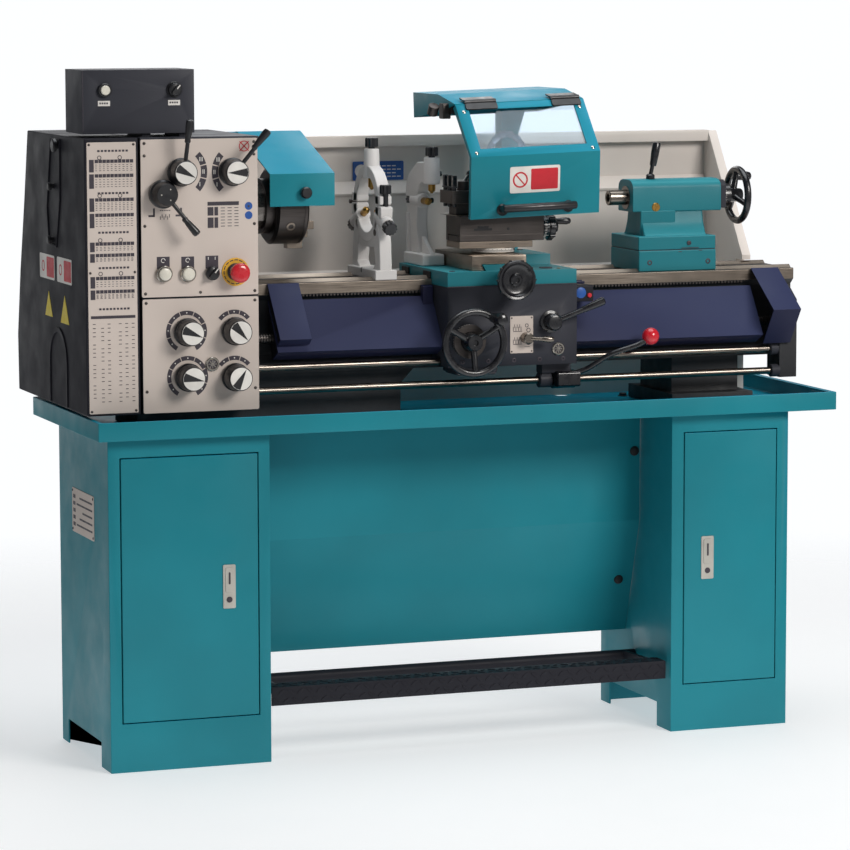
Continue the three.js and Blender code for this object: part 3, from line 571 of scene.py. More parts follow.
def latch(name, node, x0, x1, z0, z1, face):
    def frame_ring(bm):
        add_prism(bm, rounded(x0, x1, z0, z1, 3), "y", face + 0.2, face - 2.0)
    def paddle(bm):
        add_prism(bm, rounded(x0 + 5, x1 - 5, z0 + 34, z1 - 6, 5), "y", face - 1.8, face - 3.4)
    def key(bm):
        middle = (x0 + x1) / 2
        add_turned(bm, (middle, face - 1.8, z0 + 19), (0, -1, 0),
            [(0, 6.5), (1.4, 6.2), (1.6, 5.6), (0.8, 0)], 28)
        # The slot is a dark sheet of painted shade on the paddle.
        add_prism(bm, rounded(middle - 2, middle + 2, z0 + 52, z1 - 16, 1.9), "y", face - 3.3, face - 3.9)
    make(name + "_latch", node, "grey", frame_ring, 0.7)
    make(name + "_latch_paddle", node, "grey", paddle, 0.6)
    make(name + "_latch_key", node, "ink_and_painted_shade", key)


def stand():
    for node in ("left_cabinet", "right_cabinet", "left_door", "right_door"):
        dress(node, "teal", 1.6)
    dress("stand_front_panel", "teal", 1.0, smooth=10)
    dress("chip_tray", "teal", 2.2)
    dress("splash_guard", "cream", 1.0, smooth=10)
    dress("brake_pedal", "dark", 1.0)
    door_face = edges("left_door")[0].y
    latch("left_door", "left_door", -574, -546, 339, 433, door_face)
    latch("right_door", "right_door", 535, 565, 340, 436, door_face)

    def lozenges(bm):
        oval = [(9 * cos(2 * pi * k / 12), 2.6 * sin(2 * pi * k / 12)) for k in range(12)]
        for i in range(42):
            for row in range(2):
                x = -451 + i * 21.6 + row * 10.8
                lean = 38 if (i + row) % 2 else -38
                add_prism(bm, swing(oval, lean, x, 128 + row * 19), "y", PEDAL_FACE + 0.2, PEDAL_FACE - 1.3)
                add_prism(bm, swing(oval, lean, x, -214 + row * 22), "z", 157.8, 159.3)
    make("pedal_chequer_pattern", "brake_pedal", "dark", lozenges, 0.5, segments=2)

    def plugs(bm):
        for x, z in ((450, 610), (430, 313)):
            y = PANEL_FRONT_Y + PANEL_LEAN * max(0, PANEL_FOLD_Z - z)
            add_turned(bm, (x, y, z), (0, -1, 0.02), [(-0.5, 11), (1, 11), (4, 9), (5.5, 5), (5.8, 0)], 28)
    make("front_panel_plugs", "stand_front_panel", "rubber", plugs)

    left = edges("left_cabinet")[0].x
    printed("name_plate", "left_cabinet", "panel", lambda bm: add_prism(
        bm, rounded(-130, 48, 480, 576, 4), "x", left + 0.2, left - 1.2), 0.3)

    def plate_marks(bm):
        for i in range(5):
            add_box(bm, left - 1.15, left - 1.5, -118, 10 - 24 * (i % 3), 496 + 15 * i, 500 + 15 * i)
            add_box(bm, left - 1.15, left - 1.5, 20, 38, 494 + 15 * i, 502 + 15 * i)
        for y in (-124, 42):
            for z in (486, 570):
                add_turned(bm, (left - 1.1, y, z), (-1, 0, 0), [(0, 3), (1.2, 2.4), (1.6, 0)], 16)
    printed("name_plate_marks", "left_cabinet", "ink_and_painted_shade", plate_marks)

    def tray_bolts(bm):
        for x in (-780, -510, 500, 710):
            for y in (-205, 120):
                add_turned(bm, (x, y, 713.4), (0, 0, 1), [(0, 13), (1.6, 13), (1.6, 9.2), (7, 9.2), (8, 8),
                    (8, 0)], 6)
    make("tray_bolts", "chip_tray", "steel_dark", tray_bolts, 0.4)

    def rolled_rim(bm):
        lo, hi = edges("chip_tray")
        for x in (lo.x + 3.8, hi.x - 12):
            add_box(bm, x, x + 8.2, lo.y + 4, hi.y - 4, 745.6, 748.6)
        for y in (lo.y + 3.8, hi.y - 12):
            add_box(bm, lo.x + 4, hi.x - 4, y, y + 8.2, 745.7, 748.5)
    make("tray_rim_fold", "chip_tray", "teal", rolled_rim, 0.8)


# ---- bed ----
LEADSCREW = (-150, 902)
FEED_ROD = (-160, 840)
CONTROL_ROD = (-165, 791)
ROD_RADIUS = 8
SCREW_RADIUS = 11
SCREW_PITCH = 6
ROD_START = -490
ROD_END = 778


def bed():
    dress("bed", "cast", 2.5)

    def ways(bm):
        front = [(-112.3, 992), (-112.3, 1014.8), (-110.8, 1016.25), (-98.4, 1016.25), (-89, 1023.4),
                 (-79.6, 1016.25), (-66.5, 1016.25), (-66.5, 1010), (-100, 1010), (-100, 992)]
        rear = [(72.3 if y == -112.3 else -40 - y, z) for y, z in front]
        for outline in (front, rear):
            add_prism(bm, outline, "x", -469.5, 818.3)
    make("bed_ways", "bed", "steel", ways, 0.5)

    def rack(bm):
        pitch = 7.85
        for i in range(int((700 + 420) / pitch)):
            x = -420 + i * pitch
            add_prism(bm, [(x, 991.6), (x + 5.6, 991.6), (x + 4.4, 986.5), (x + 1.2, 986.5)], "y", -111,
                -99)
        add_box(bm, -424, 704, -111.5, -98, 991.4, 992.4)
    make("carriage_rack", "bed", "steel_dark", rack)

    def bracket_parts(bm):
        for y, z in (FEED_ROD, CONTROL_ROD):
            add_turned(bm, (736.5, y, z), (1, 0, 0), [(0, 10), (0, 13), (1.5, 14.4), (20, 14.4)], 40)
        for z, r in ((948, 5), (905, 8)):
            add_turned(bm, (797.2, -146, z), (1, 0, 0), [(-1, r), (2, r), (3, r - 1), (3, r * 0.5),
                (1.4, r * 0.45), (1.4, 0)], 24)
        for z, r in ((884, 3), (862, 8)):
            add_turned(bm, (776, -176.2, z), (0, -1, 0), [(-1, r), (1.5, r), (2.2, r - 0.8), (2.2, r * 0.5),
                (0.8, r * 0.45), (0.8, 0)], 24)
    make("end_bracket_bushes", "bed", "charcoal", bracket_parts, 0.4)


def rods():
    length = ROD_END - ROD_START
    make("leadscrew_thread", "leadscrew", "steel_dark", lambda bm: add_turned(
        bm, (ROD_START, *LEADSCREW), (1, 0, 0), thread_profile(SCREW_RADIUS, length, SCREW_PITCH), 32),
            stands_for=True)
    for node, axis in (("feed_rod", FEED_ROD), ("control_rod", CONTROL_ROD)):
        make(node + "_bar", node, "rod_steel", lambda bm, axis=axis: add_turned(
            bm, (ROD_START, *axis), (1, 0, 0), [
                (0, ROD_RADIUS - 0.8), (0.8, ROD_RADIUS), (length - 0.8, ROD_RADIUS),
                    (length, ROD_RADIUS - 0.8)], 40),
            stands_for=True)
    # Painted shade: the keyway is drawn as a dark strip on top of the rod.
    make("feed_rod_keyway", "feed_rod", "ink_and_painted_shade", lambda bm: add_box(
        bm, -470, 730, FEED_ROD[0] - 1.6, FEED_ROD[0] + 1.6, FEED_ROD[1] + 7.2, FEED_ROD[1] + 8.05))


def thread_profile(r, length, pitch):
    """Ridges spaced one pitch apart, standing for the turns of a trapezoidal thread."""
    profile = [(0, r - 2.2)]
    for i in range(int(length / pitch)):
        a = i * pitch
        profile += [(a + 0.8, r - 2.2), (a + 1.8, r), (a + 4.2, r), (a + 5.2, r - 2.2)]
    return profile + [(length, r - 2.2)]


# ---- headstock, gearbox and gear cover ----
UPPER = {"x0": -735, "x1": -479, "z0": 1003, "z1": 1334}
LOWER = {"x0": -734, "x1": -479, "z0": 758, "z1": 999}
CHART = {"x0": -852, "x1": -746, "z0": 762, "z1": 1330}
INK_DEPTH = 0.35
RANGE_FANS = ((-651, 1265), (-519, 1263.5))
NO_ENTRY = (-508.5, 1317)
WIDE_DIALS = ((-638.5, 928), (-637, 832))
NARROW_DIALS = ((-533.5, 927), (-533.5, 829))


def headstock():
    dress("headstock", "charcoal", 2.0)
    dress("feed_gearbox", "charcoal", 2.0)
    dress("drive_motor", "charcoal", 2.0)
    dress("electrical_box", "charcoal", 1.5)
    recolour("motor_pulley", "steel_turned")
    face = PANEL_FACE - 2.5
    for name, node, area in (("upper_panel", "headstock", UPPER), ("lower_panel", "feed_gearbox", LOWER)):
        printed(name, node, "panel", lambda bm, a=area: add_prism(
            bm, rounded(a["x0"], a["x1"], a["z0"], a["z1"], 4), "y", PANEL_FACE - 0.1, face), 0.5)
    screws("upper_panel_screws", "headstock", [
        (x, face, z) for x in (UPPER["x0"] + 8, UPPER["x1"] - 8) for z in (UPPER["z0"] + 8,
            UPPER["z0"] + 150, UPPER["z1"] - 34, UPPER["z1"] - 8)
    ] + [(-607, face, UPPER["z0"] + 8)])
    screws("lower_panel_screws", "feed_gearbox", [
        (x, face, z) for x in (LOWER["x0"] + 8, LOWER["x1"] - 8) for z in (LOWER["z0"] + 46,
            LOWER["z1"] - 8)])
    panel_prints(face)


def strip(bm, x0, x1, z0, z1, face):
    add_box(bm, x0, x1, face + 0.1, face - INK_DEPTH, z0, z1)


def scale_arc(bm, centre, r0, r1, start, end, parts, face, gap=2.5):
    """Printed ring around a control, in equal parts with gaps."""
    step = (end - start) / parts
    for i in range(parts):
        a = start + i * step + gap / 2
        add_prism(bm, ring_part(centre, r0, r1, a, a + step - gap, 8), "y", face + 0.1, face - INK_DEPTH)


def panel_prints(face):
    def upper_ink(bm):
        scale_arc(bm, RANGE_FANS[0], 47.5, 61, -44, 44, 3, face)
        scale_arc(bm, RANGE_FANS[1], 47.5, 61, 136, 224, 3, face)
        for x, z in ((-688, 1075), (-634.5, 1074), (-581.5, 1074.5)):
            strip(bm, x - 14, x + 14, z - 14, z + 13, face)
        strip(bm, -590, -521, 1193, 1201, face)
        for z0, z1 in ((1172, 1190), (1146, 1168)):
            strip(bm, -590, -577, z0, z1, face)
            strip(bm, -575, -567, z0, z1, face)
        for row in range(7):
            for column in range(3):
                strip(bm, -561 + column * 15, -552 + column * 15, 1187 - row * 6.4, 1188.4 - row * 6.4,
                    face)
        for x in (-714, -655):
            strip(bm, x - 5, x + 9, 1172, 1176, face)
            strip(bm, x + 5, x + 9, 1172, 1190, face)
        for i in range(6):
            strip(bm, -694 + i * 4, -692.6 + i * 4, 1166 + 4 * (i % 2), 1173 + 4 * (i % 2), face)
            strip(bm, -694 + i * 4, -691.6 + i * 4, 1184, 1186, face)
        add_prism(bm, ring_part((-499.5, 1190), 0.01, 2.4, 0, 359, 16), "y", face - 0.4, face - 0.8)
    printed("upper_panel_print", "headstock", "ink_and_painted_shade", upper_ink)

    def white_marks(bm):
        top = face - INK_DEPTH
        for centre, sign in ((RANGE_FANS[0], 1), (RANGE_FANS[1], -1)):
            for k in (-1, 0, 1):
                t = radians(29 * k) if sign > 0 else radians(180 - 29 * k)
                x = centre[0] + 54 * cos(t)
                z = centre[1] + 54 * sin(t)
                for bar in range(k + 2):
                    strip(bm, x - 3.4 + bar * 3, x - 1.9 + bar * 3, z - 4.5, z + 4.5, top)
        for x, z in ((-688, 1080), (-634.5, 1079.5)):
            add_prism(bm, ring_part((x, z), 3.6, 5.0, 0, 300), "y", top + 0.1, top - 0.3)
        strip(bm, -590, -588.6, 1079, 1085, top)
        strip(bm, -575, -573.6, 1079, 1085, top)
    printed("upper_panel_white_print", "headstock", "paper", white_marks)

    def blue_dots(bm):
        for z in (1190.5, 1171):
            add_turned(bm, (-499.5, face, z), (0, -1, 0), [(-0.1, 8.4), (0.35, 8.4), (0.35, 0)], 32)
    printed("panel_blue_dots", "headstock", "print_blue", blue_dots)

    def red_ring(bm):
        add_prism(bm, ring_part(NO_ENTRY, 9.6, 11.4, 0, 359, 40), "y", face + 0.1, face - INK_DEPTH)
        for lean in (45, -45):
            bar = swing([(-14, -1), (14, -1), (14, 1), (-14, 1)], lean, *NO_ENTRY)
            add_prism(bm, bar, "y", face + 0.1, face - INK_DEPTH - 0.1)
    printed("panel_red_cross", "headstock", "print_red", red_ring)

    def lower_ink(bm):
        for x, z in WIDE_DIALS:
            scale_arc(bm, (x, z), 36, 45, -62, 240, 7, face)
        for x, z in NARROW_DIALS:
            scale_arc(bm, (x, z), 36, 45, 38, 142, 3, face)
    printed("lower_panel_print", "feed_gearbox", "ink_and_painted_shade", lower_ink)

    def lower_marks(bm):
        top = face - INK_DEPTH
        marks = [(dial, t) for dial in WIDE_DIALS for t in range(-40, 241, 43)]
        marks += [(dial, t) for dial in NARROW_DIALS for t in (55, 90, 125)]
        for (x, z), t in marks:
            add_turned(bm, (x + 40.5 * cos(radians(t)), top, z + 40.5 * sin(radians(t))), (0, -1, 0),
                       [(-0.1, 1.5), (0.25, 1.5), (0.25, 0)], 12)
    printed("lower_panel_white_print", "feed_gearbox", "paper", lower_marks)
    sight_glass("gearbox_sight_glass", "feed_gearbox", (-582.6, face, 858), 15)


def sight_glass(name, node, place, r):
    make(name + "_ring", node, "polished", lambda bm: add_turned(
        bm, place, (0, -1, 0), [(-1, r), (3, r), (4, r - 1.2), (4, r - 4), (1.6, r - 5), (1.6, 0)], 40))
    def lens(bm):
        add_turned(bm, place, (0, -1, 0), [(1.5, r - 5), (2.4, r - 6.5), (2.9, 0)], 32)
    make(name + "_lens", node, "ink_and_painted_shade", lens)
    def star(bm):
        x, y, z = place
        for t in range(0, 180, 45):
            ray = [(5.6 - r, -0.9), (r - 5.6, -0.9), (r - 5.6, 0.9), (5.6 - r, 0.9)]
            add_prism(bm, swing(ray, t, x, z), "y", y - 1.7, y - 3.2 - t * 0.002)
    make(name + "_star", node, "polished", star)


def gear_cover():
    dress("gear_cover", "dark", 6.0, segments=4, smooth=10)
    face = edges("gear_cover")[0].y
    printed("change_gear_chart", "gear_cover", "panel", lambda bm: add_prism(
        bm, rounded(CHART["x0"], CHART["x1"], CHART["z0"], CHART["z1"], 2.5), "y", face + 0.1, face - 1.4),
            0.3)
    face -= 1.4

    def chart(bm):
        left, right = CHART["x0"] + 5, CHART["x1"] - 5
        tables = ((1294, 1268, 4), (1264, 1234, 4), (1214, 1186, 5), (1182, 1152, 4),
                  (1122, 1102, 3), (1098, 1080, 3), (1050, 1026, 3), (1022, 1002, 4))
        for top, low, rows in tables:
            for k in range(10):
                x = left + 12 + k * (right - left - 12) / 10
                strip(bm, x, x + 7.4, top - 7, top, face)
            strip(bm, left, left + 10, low, top, face)
            for row in range(rows):
                z = top - 9 - (top - 10 - low) * (row + 0.6) / rows
                for k in range(10):
                    x = left + 13 + k * (right - left - 12) / 10
                    strip(bm, x, x + 3.8 + (k * row) % 2, z, z + 1.1, face)
        for z in (1310, 1222, 1140, 1066, 980):
            for k in range(9):
                strip(bm, left + 18 + k * 7.6, left + 23 + k * 7.6, z, z + 4.2, face)
        for z in (1300, 1221, 1128, 1058):
            for x in (left + 22, left + 66):
                add_prism(bm, ring_part((x, z - 2), 3.2, 4.6, 0, 359, 16), "y", face + 0.1,
                    face - INK_DEPTH)
        strip(bm, left, right, 962, 968, face)
        for row in range(20):
            for x in (left + 4, left + 22, left + 36, left + 60, left + 74, left + 88):
                if (row * 7 + int(x)) % 5:
                    strip(bm, x, x + 6, 950 - row * 8.6, 951.4 - row * 8.6, face)
    printed("chart_print", "gear_cover", "ink_and_painted_shade", chart)
    screws("chart_screws", "gear_cover", [
        (x, face, z) for x in (CHART["x0"] + 5, CHART["x1"] - 5) for z in (CHART["z0"] + 5, 1058,
            CHART["z1"] - 5)], r=2.8)

    side = COVER_LEFT
    def recess_walls(bm):
        outline = [(-18, 1330), (60, 1330), (100, 1180), (86, 1100), (20, 1096), (-14, 1200)]
        inner = [(y * 0.9 + 4, (z - 1210) * 0.95 + 1210) for y, z in outline]
        for (a, b), (d, e) in zip(zip(outline, outline[1:] + outline[:1]),
            zip(inner, inner[1:] + inner[:1])):
            add_prism(bm, [a, b, e, d], "x", side + 0.2, side - 3.0)
    make("cover_side_rib", "gear_cover", "dark", recess_walls, 1.2)

    def arch_rib(bm):
        outer = [(-58, 760), (-58, 850)] + arc((18, 850), 76, 180, 0, 14) + [(94, 760)]
        inner = [(-48, 760), (-48, 850)] + arc((18, 850), 66, 180, 0, 14) + [(84, 760)]
        add_prism(bm, outer + inner[::-1], "x", side + 0.2, side - 3.0)
    make("cover_side_arch", "gear_cover", "dark", arch_rib, 1.2)

    def cover_knobs(bm):
        for y, z, r in ((2, 1316, 14), (44, 1227, 9), (52, 1112, 9)):
            add_turned(bm, (side, y, z), (-1, 0, 0),
                       [(-1, r * 0.6), (6, r * 0.6), (6, r), (12, r), (14, r - 2), (14, 0)], 24)
    make("cover_knob_screws", "gear_cover", "black", cover_knobs, 0.5)

    def label(name, y0, y1, z0, z1):
        printed(name + "_plate", "gear_cover", "paper", lambda bm: add_prism(
            bm, rounded(y0, y1, z0, z1, 5), "x", side + 0.1, side - 0.6))
        printed(name + "_block", "gear_cover", "print_red", lambda bm: add_prism(
            bm, rounded(y0 + 4, y0 + (y1 - y0) * 0.52, z0 + 5, z1 - 5, 3), "x", side - 0.5, side - 0.9))
        middle = (y0 + (y1 - y0) * 0.76, (z0 + z1) / 2)
        printed(name + "_ring", "gear_cover", "print_red", lambda bm: add_prism(
            bm, ring_part(middle, 9, 12, 0, 359, 32), "x", side - 0.5, side - 0.9))
    label("left_side_label", 45, 170, 1024, 1077)
    label("right_side_label", -99, 22, 1024, 1078)

    def triangles(bm):
        for y, z, r in ((97, 962, 36), (-38, 958, 40)):
            add_prism(bm, [(y + r * cos(radians(t)), z + r * sin(radians(t))) for t in (90, 210, 330)],
                      "x", side + 0.1, side - 0.6)
    printed("side_triangles", "gear_cover", "print_yellow", triangles)


def electrical_box_labels():
    face = edges("electrical_box")[0].y
    def plates(bm):
        for x0, x1 in ((-819, -793), (-667, -641)):
            add_box(bm, x0, x1, face + 0.1, face - 0.6, 1404, 1415)
    printed("box_labels", "electrical_box", "paper", plates)
    def marks(bm):
        for x0 in (-816, -664):
            for k in range(4):
                strip(bm, x0 + k * 5, x0 + 3.4 + k * 5, 1408, 1411.5, face - 0.6)
    printed("box_label_print", "electrical_box", "ink_and_painted_shade", marks)
    def seams(bm):
        lo, hi = edges("electrical_box")
        add_box(bm, lo.x + 1.2, lo.x + 2.4, face + 0.1, face - 0.3, lo.z + 14, hi.z - 2)
    make("box_front_seam", "electrical_box", "ink_and_painted_shade", seams)
    screws("box_screws", "electrical_box", [(-613, face + 20, 1462), (-613, face + 20, 1362)], (1, 0, 0))


# ---- controls on the panels ----
def wedge(bm, centre, y, r, turn):
    """Pointer wedge printed on a round face, its tip at the rim."""
    tail = [(-r * cos(radians(a)), -r * sin(radians(a))) for a in (-24, 0, 24)]
    add_prism(bm, swing([(r, 0), *tail], turn, *centre), "y", y + 0.2, y - 0.35)


KNOB_BASE = 30
LEVER_ROD = 4.6
LEVER_GRIP = 7.6
SWITCH_DEPTH = 20
SWITCH_TURN = 52


def pointer_knob(node, x, z, y, turn, face_r=25, front=-42, lever=None):
    """Black collar and skirt with a pale face and a pointer; lever is its grip's base and tip, if any."""
    def body(bm):
        add_turned(bm, (x, y, z), (0, -1, 0), [
            (0.4, KNOB_BASE - 0.6), (1, KNOB_BASE), (8, KNOB_BASE), (11, KNOB_BASE - 3),
                (12.5, face_r + 2.4),
            (-front - 3, face_r + 0.6), (-front - 1, face_r), (-front, face_r - 1), (-front, 0)], 56)
        if lever:
            lever_arm(bm, (x, y, z), *lever)
    make(node + "_body", node, "black", body, stands_for=True)
    printed(node + "_face", node, "paper", lambda bm: add_turned(
        bm, (x, y + front, z), (0, -1, 0), [(-0.2, face_r - 1.6), (0.5, face_r - 2.0), (0.5, 0)], 48))
    make(node + "_pointer", node, "black", lambda bm: wedge(bm, (x, z), y + front - 0.5, face_r - 2.2,
        turn))


def lever_arm(bm, hub, base, tip):
    """Thin rod from the hub and a tapered grip with a domed end."""
    hub, base, tip = Vector(hub), Vector(base), Vector(tip)
    add_bar(bm, hub + Vector((0, -26, 0)), hub + tip, LEVER_ROD, LEVER_ROD * 0.9)
    along = (tip - base).length
    add_turned(bm, hub + base, tip - base, [
        (-4, 4.4), (-2, 6.0), (0, 6.6), (along * 0.1, 5.6), (along * 0.25, 6.8),
            (along * 0.85, LEVER_GRIP + 1.2),
        (along * 0.97, LEVER_GRIP), (along, LEVER_GRIP * 0.6), (along + 0.4, 0)], 28)


def controls():
    y = PANEL_FACE - 6
    hub = (-690, y, 1220)
    pointer_knob("speed_lever_1", -649, 1265, y, -28, lever=((4, -40, 66), (8, -48, 111)))
    pointer_knob("speed_lever_2", -536.5, 1263.5, y, 180, lever=((37, -40, 52), (66, -48, 88)))

    def direction(bm):
        add_turned(bm, hub, (0, -1, 0), [(0.4, 29), (1, 30), (12, 30), (15, 26.5), (40, 23.5), (42, 22),
            (42, 0)], 56)
        lever_arm(bm, hub, (38, -38, -52), (64, -46, -84))
    make("feed_direction_lever_body", "feed_direction_lever", "black", direction, stands_for=True)

    def direction_marks(bm):
        for t in (60, 180, 300):
            add_turned(bm, (hub[0] + 13 * cos(radians(t)), y - 42, hub[2] + 13 * sin(radians(t))),
                (0, -1, 0),
                       [(-0.2, 1.6), (0.3, 1.6), (0.3, 0)], 12)
    make("feed_direction_lever_dots", "feed_direction_lever", "grey", direction_marks)
    dials = (WIDE_DIALS[0], NARROW_DIALS[0], WIDE_DIALS[1], NARROW_DIALS[1])
    for i, ((x, z), turn) in enumerate(zip(dials, (-22, -48, -12, 60)), 1):
        pointer_knob(f"feed_knob_{i}", x, z, y, turn, 25.5, -45)

    x, z, r = -687.5, 1052, 13
    make("jog_button_cap", "jog_button", "lamp", lambda bm: add_turned(
        bm, (x, y, z), (0, -1, 0), [
            (4.5, r - 1), (5, r), (12, r), (13.2, r - 1.6), (13.9, r - 4), (13.9, 0)], 44), stands_for=True)
    make("jog_button_bezel", "headstock", "polished", lambda bm: bezel(
        bm, x, y + 3.5, z, r + 1, r + 4.6, 9))
    make("feed_lamp_bezel", "headstock", "polished", lambda bm: bezel(bm, -635, y + 3.5, 1050.5, 0, 17, 9))
    make("feed_lamp_lens", "headstock", "lamp", lambda bm: add_turned(
        bm, (-635, y - 5.5, 1050.5), (0, -1, 0), [(-0.2, 13), (3, 13), (5, 11), (5.6, 7), (5.8, 0)], 40))
    switch_knob("coolant_switch", -582.5, y, 1051, 15)
    switch_knob("lamp_switch", -653.5, edges("electrical_box")[0].y, 1437, 14)
    reset_x, reset_z = -805, 1437
    face = edges("electrical_box")[0].y
    make("reset_button_cap", "reset_button", "lamp", lambda bm: add_turned(
        bm, (reset_x, face, reset_z), (0, -1, 0), [(-12, 6), (4, 6), (4, 9.4), (10, 10), (11.9, 8.6),
            (11.9, 0)], 40), stands_for=True)
    make("reset_button_bezel", "electrical_box", "black", lambda bm: bezel(
        bm, reset_x, face + 0.2, reset_z, 10.8, 14.5, 8))
    make("lamp_switch_bezel", "electrical_box", "black", lambda bm: bezel(
        bm, -653.5, face + 0.2, 1437, 14.8, 17, 4))

    x, z = -530, 1052
    make("stop_disc", "headstock", "yellow", lambda bm: add_turned(
        bm, (x, PANEL_FACE - 2.6, z), (0, -1, 0), [(-0.2, 29.5), (1.4, 30), (2.2, 29), (2.2, 16.5),
            (-0.2, 16.5)], 64))
    printed("stop_marks", "headstock", "ink_and_painted_shade", lambda bm: [
        add_prism(bm, ring_part((x, z), 24.5, 26.5, t, t + 18, 6), "y", PANEL_FACE - 4.7, PANEL_FACE - 5.05)
        for t in range(30, 331, 24)])
    make("stop_collar", "headstock", "ink_and_painted_shade", lambda bm: bezel(bm, x, PANEL_FACE - 2.7, z, 14.8, 18.5, 9))
    make("emergency_stop_mushroom", "emergency_stop", "red", lambda bm: add_turned(
        bm, (x, y - 6, z), (0, -1, 0), [
            (0.4, 13), (17, 13), (20, 17), (22, 20.4), (24, 21), (29, 21), (32, 19.6), (34.5, 16),
                (35.7, 10), (36, 0)], 56),
        stands_for=True)


def bezel(bm, x, y, z, inner, outer, depth):
    """Turned ring round a control, or a full disc where inner is 0."""
    profile = [(0, outer), (depth - 1.5, outer), (depth, outer - 1.4)]
    profile += [(depth, inner), (0, inner)] if inner else [(depth, 0)]
    add_turned(bm, (x, y, z), (0, -1, 0), profile, 44, closed=inner > 0)


def switch_knob(node, x, y, z, r):
    """Round rotary switch with a raised finger bar and a white line on it."""
    def knob(bm):
        add_turned(bm, (x, y, z), (0, -1, 0), [
            (0.4, r - 0.8), (1, r), (8, r), (10, r - 2), (11, r - 4), (11, 0)], 40)
        bar = rounded(-r + 1, r - 1, -4, 4, 3.6)
        add_prism(bm, swing(bar, SWITCH_TURN, x, z), "y", y - 10.5, y - SWITCH_DEPTH)
    make(node + "_knob", node, "black", knob, 0.8, stands_for=True)
    line = [(2, -1.1), (r - 2, -1.1), (r - 2, 1.1), (2, 1.1)]
    top = y - SWITCH_DEPTH
    printed(node + "_line", node, "paper", lambda bm: add_prism(
        bm, swing(line, SWITCH_TURN, x, z), "y", top + 0.1, top - 0.25))


# ---- spindle, chuck and its hood ----
SPINDLE = (-20, 1178)
CHUCK_X = (-398, -328)
JAW_TURNS = (180, 300, 60)


def jaw_axes(turn):
    """Outward and sideways directions on the chuck's face, turned in degrees from straight up."""
    t = radians(turn)
    return Vector((0, -sin(t), cos(t))), Vector((0, cos(t), sin(t)))


def chuck():
    recolour("spindle", "steel_turned")
    y, z = SPINDLE

    make("spindle_nose_cover", "headstock", "cast", lambda bm: add_turned(
        bm, (-478, y, z), (1, 0, 0), [(-1, 96), (3, 96), (5, 94), (5, 66), (-1, 66)], 72, closed=True))

    profile = [(-19.6, 60), (-2, 60), (-2, 76), (0, 78), (3.5, 83), (58, 83), (60, 82), (62, 83), (66, 83),
        (70, 79.5)]

    def body(bm):
        add_turned(bm, (CHUCK_X[0], y, z), (1, 0, 0), profile + [(70, 23), (69, 22), (-19.6, 22)], 96,
            closed=True)
    make("chuck_body_turned", "chuck_body", "steel_dark", body, stands_for=True)

    # Dark sheets on the chuck face are painted shade in the open ends of the jaw slots.
    def slots(bm):
        for turn in JAW_TURNS:
            out, side = jaw_axes(turn)
            corners = [(out * r + side * w + Vector((0, y, z))) for r,
                w in ((23, -12.3), (82.5, -12.3), (82.5, 12.3), (23, 12.3))]
            add_prism(bm, [(c.y, c.z) for c in corners], "x", CHUCK_X[1] - 1, CHUCK_X[1] + 0.25)
    make("chuck_jaw_slots", "chuck_body", "ink_and_painted_shade", slots)

    def key_sockets(bm):
        for turn in (0, 120, 240):
            out = jaw_axes(turn)[0]
            centre = Vector((CHUCK_X[0] + 30, y, z)) + out * 82.4
            add_turned(bm, centre, out, [(-1, 10), (1.4, 10), (1.9, 9), (1.9, 6.2), (-0.6, 5.8), (-0.6, 0)],
                36)
    make("chuck_key_sockets", "chuck_body", "steel", key_sockets)

    side_profile = [(34, -29.7), (34, 32), (52, 32), (52, 18), (70, 18), (70, 6), (93, 6), (93, -29.7)]
    for i, turn in enumerate(JAW_TURNS):
        def jaw(bm, turn=turn):
            out, side = jaw_axes(turn)
            add_plate(bm, *([Vector((CHUCK_X[1] + along, y, z)) + out * r + side * w for r,
                along in side_profile]
                            for w in (-12, 12)))
        make(f"chuck_jaw_{i + 1}_hardened", f"chuck_jaw_{i + 1}", "steel", jaw, 0.9, stands_for=True)

    dress("chuck_guard", "teal", 1.2, smooth=10)
    face = edges("chuck_guard")[0].y
    make("hood_knob", "chuck_guard", "black", lambda bm: add_turned(
        bm, (-346, face, 1211), (0, -1, 0), [(-0.4, 5), (3, 5), (3, 11), (5, 12.5), (14, 12.5), (17, 10),
            (17.6, 0)], 28))


# ---- steady and follow rests ----
STEADY = (-172, -144)
STEADY_FINGERS = (202, 336)
STEADY_BORE = 62
STEADY_RIM = 84


def knurled_knob(bm, centre, direction, r, length, neck=4.0):
    """Knob with finger flutes on a short neck."""
    place = Matrix.Translation(at(*centre)) @ turn_to(direction)
    sides = 48
    rings = []
    for along, grow in ((-neck, -r * 0.45), (0.5, -r * 0.45), (0.5, -1), (1.6, 0), (length - 2, 0),
        (length, -1.6)):
        ring = []
        for i in range(sides):
            t = 2 * pi * i / sides
            flute = 0.07 * r * cos(12 * t) if grow > -r * 0.4 else 0
            ring.append(bm.verts.new(place @ (Vector(((r + grow + flute) * cos(t),
                (r + grow + flute) * sin(t), along)) * MM)))
        rings.append(ring)
    skin(bm, rings)


def finger(bm, tip, back):
    """Sliding finger with a pointed nose towards the work."""
    tip, back = Vector(tip), Vector(back)
    length = (back - tip).length
    add_turned(bm, tip, back - tip, [(0, 2.2), (3, 4.4), (5, 6.4), (6, 8), (length, 8)], 32)


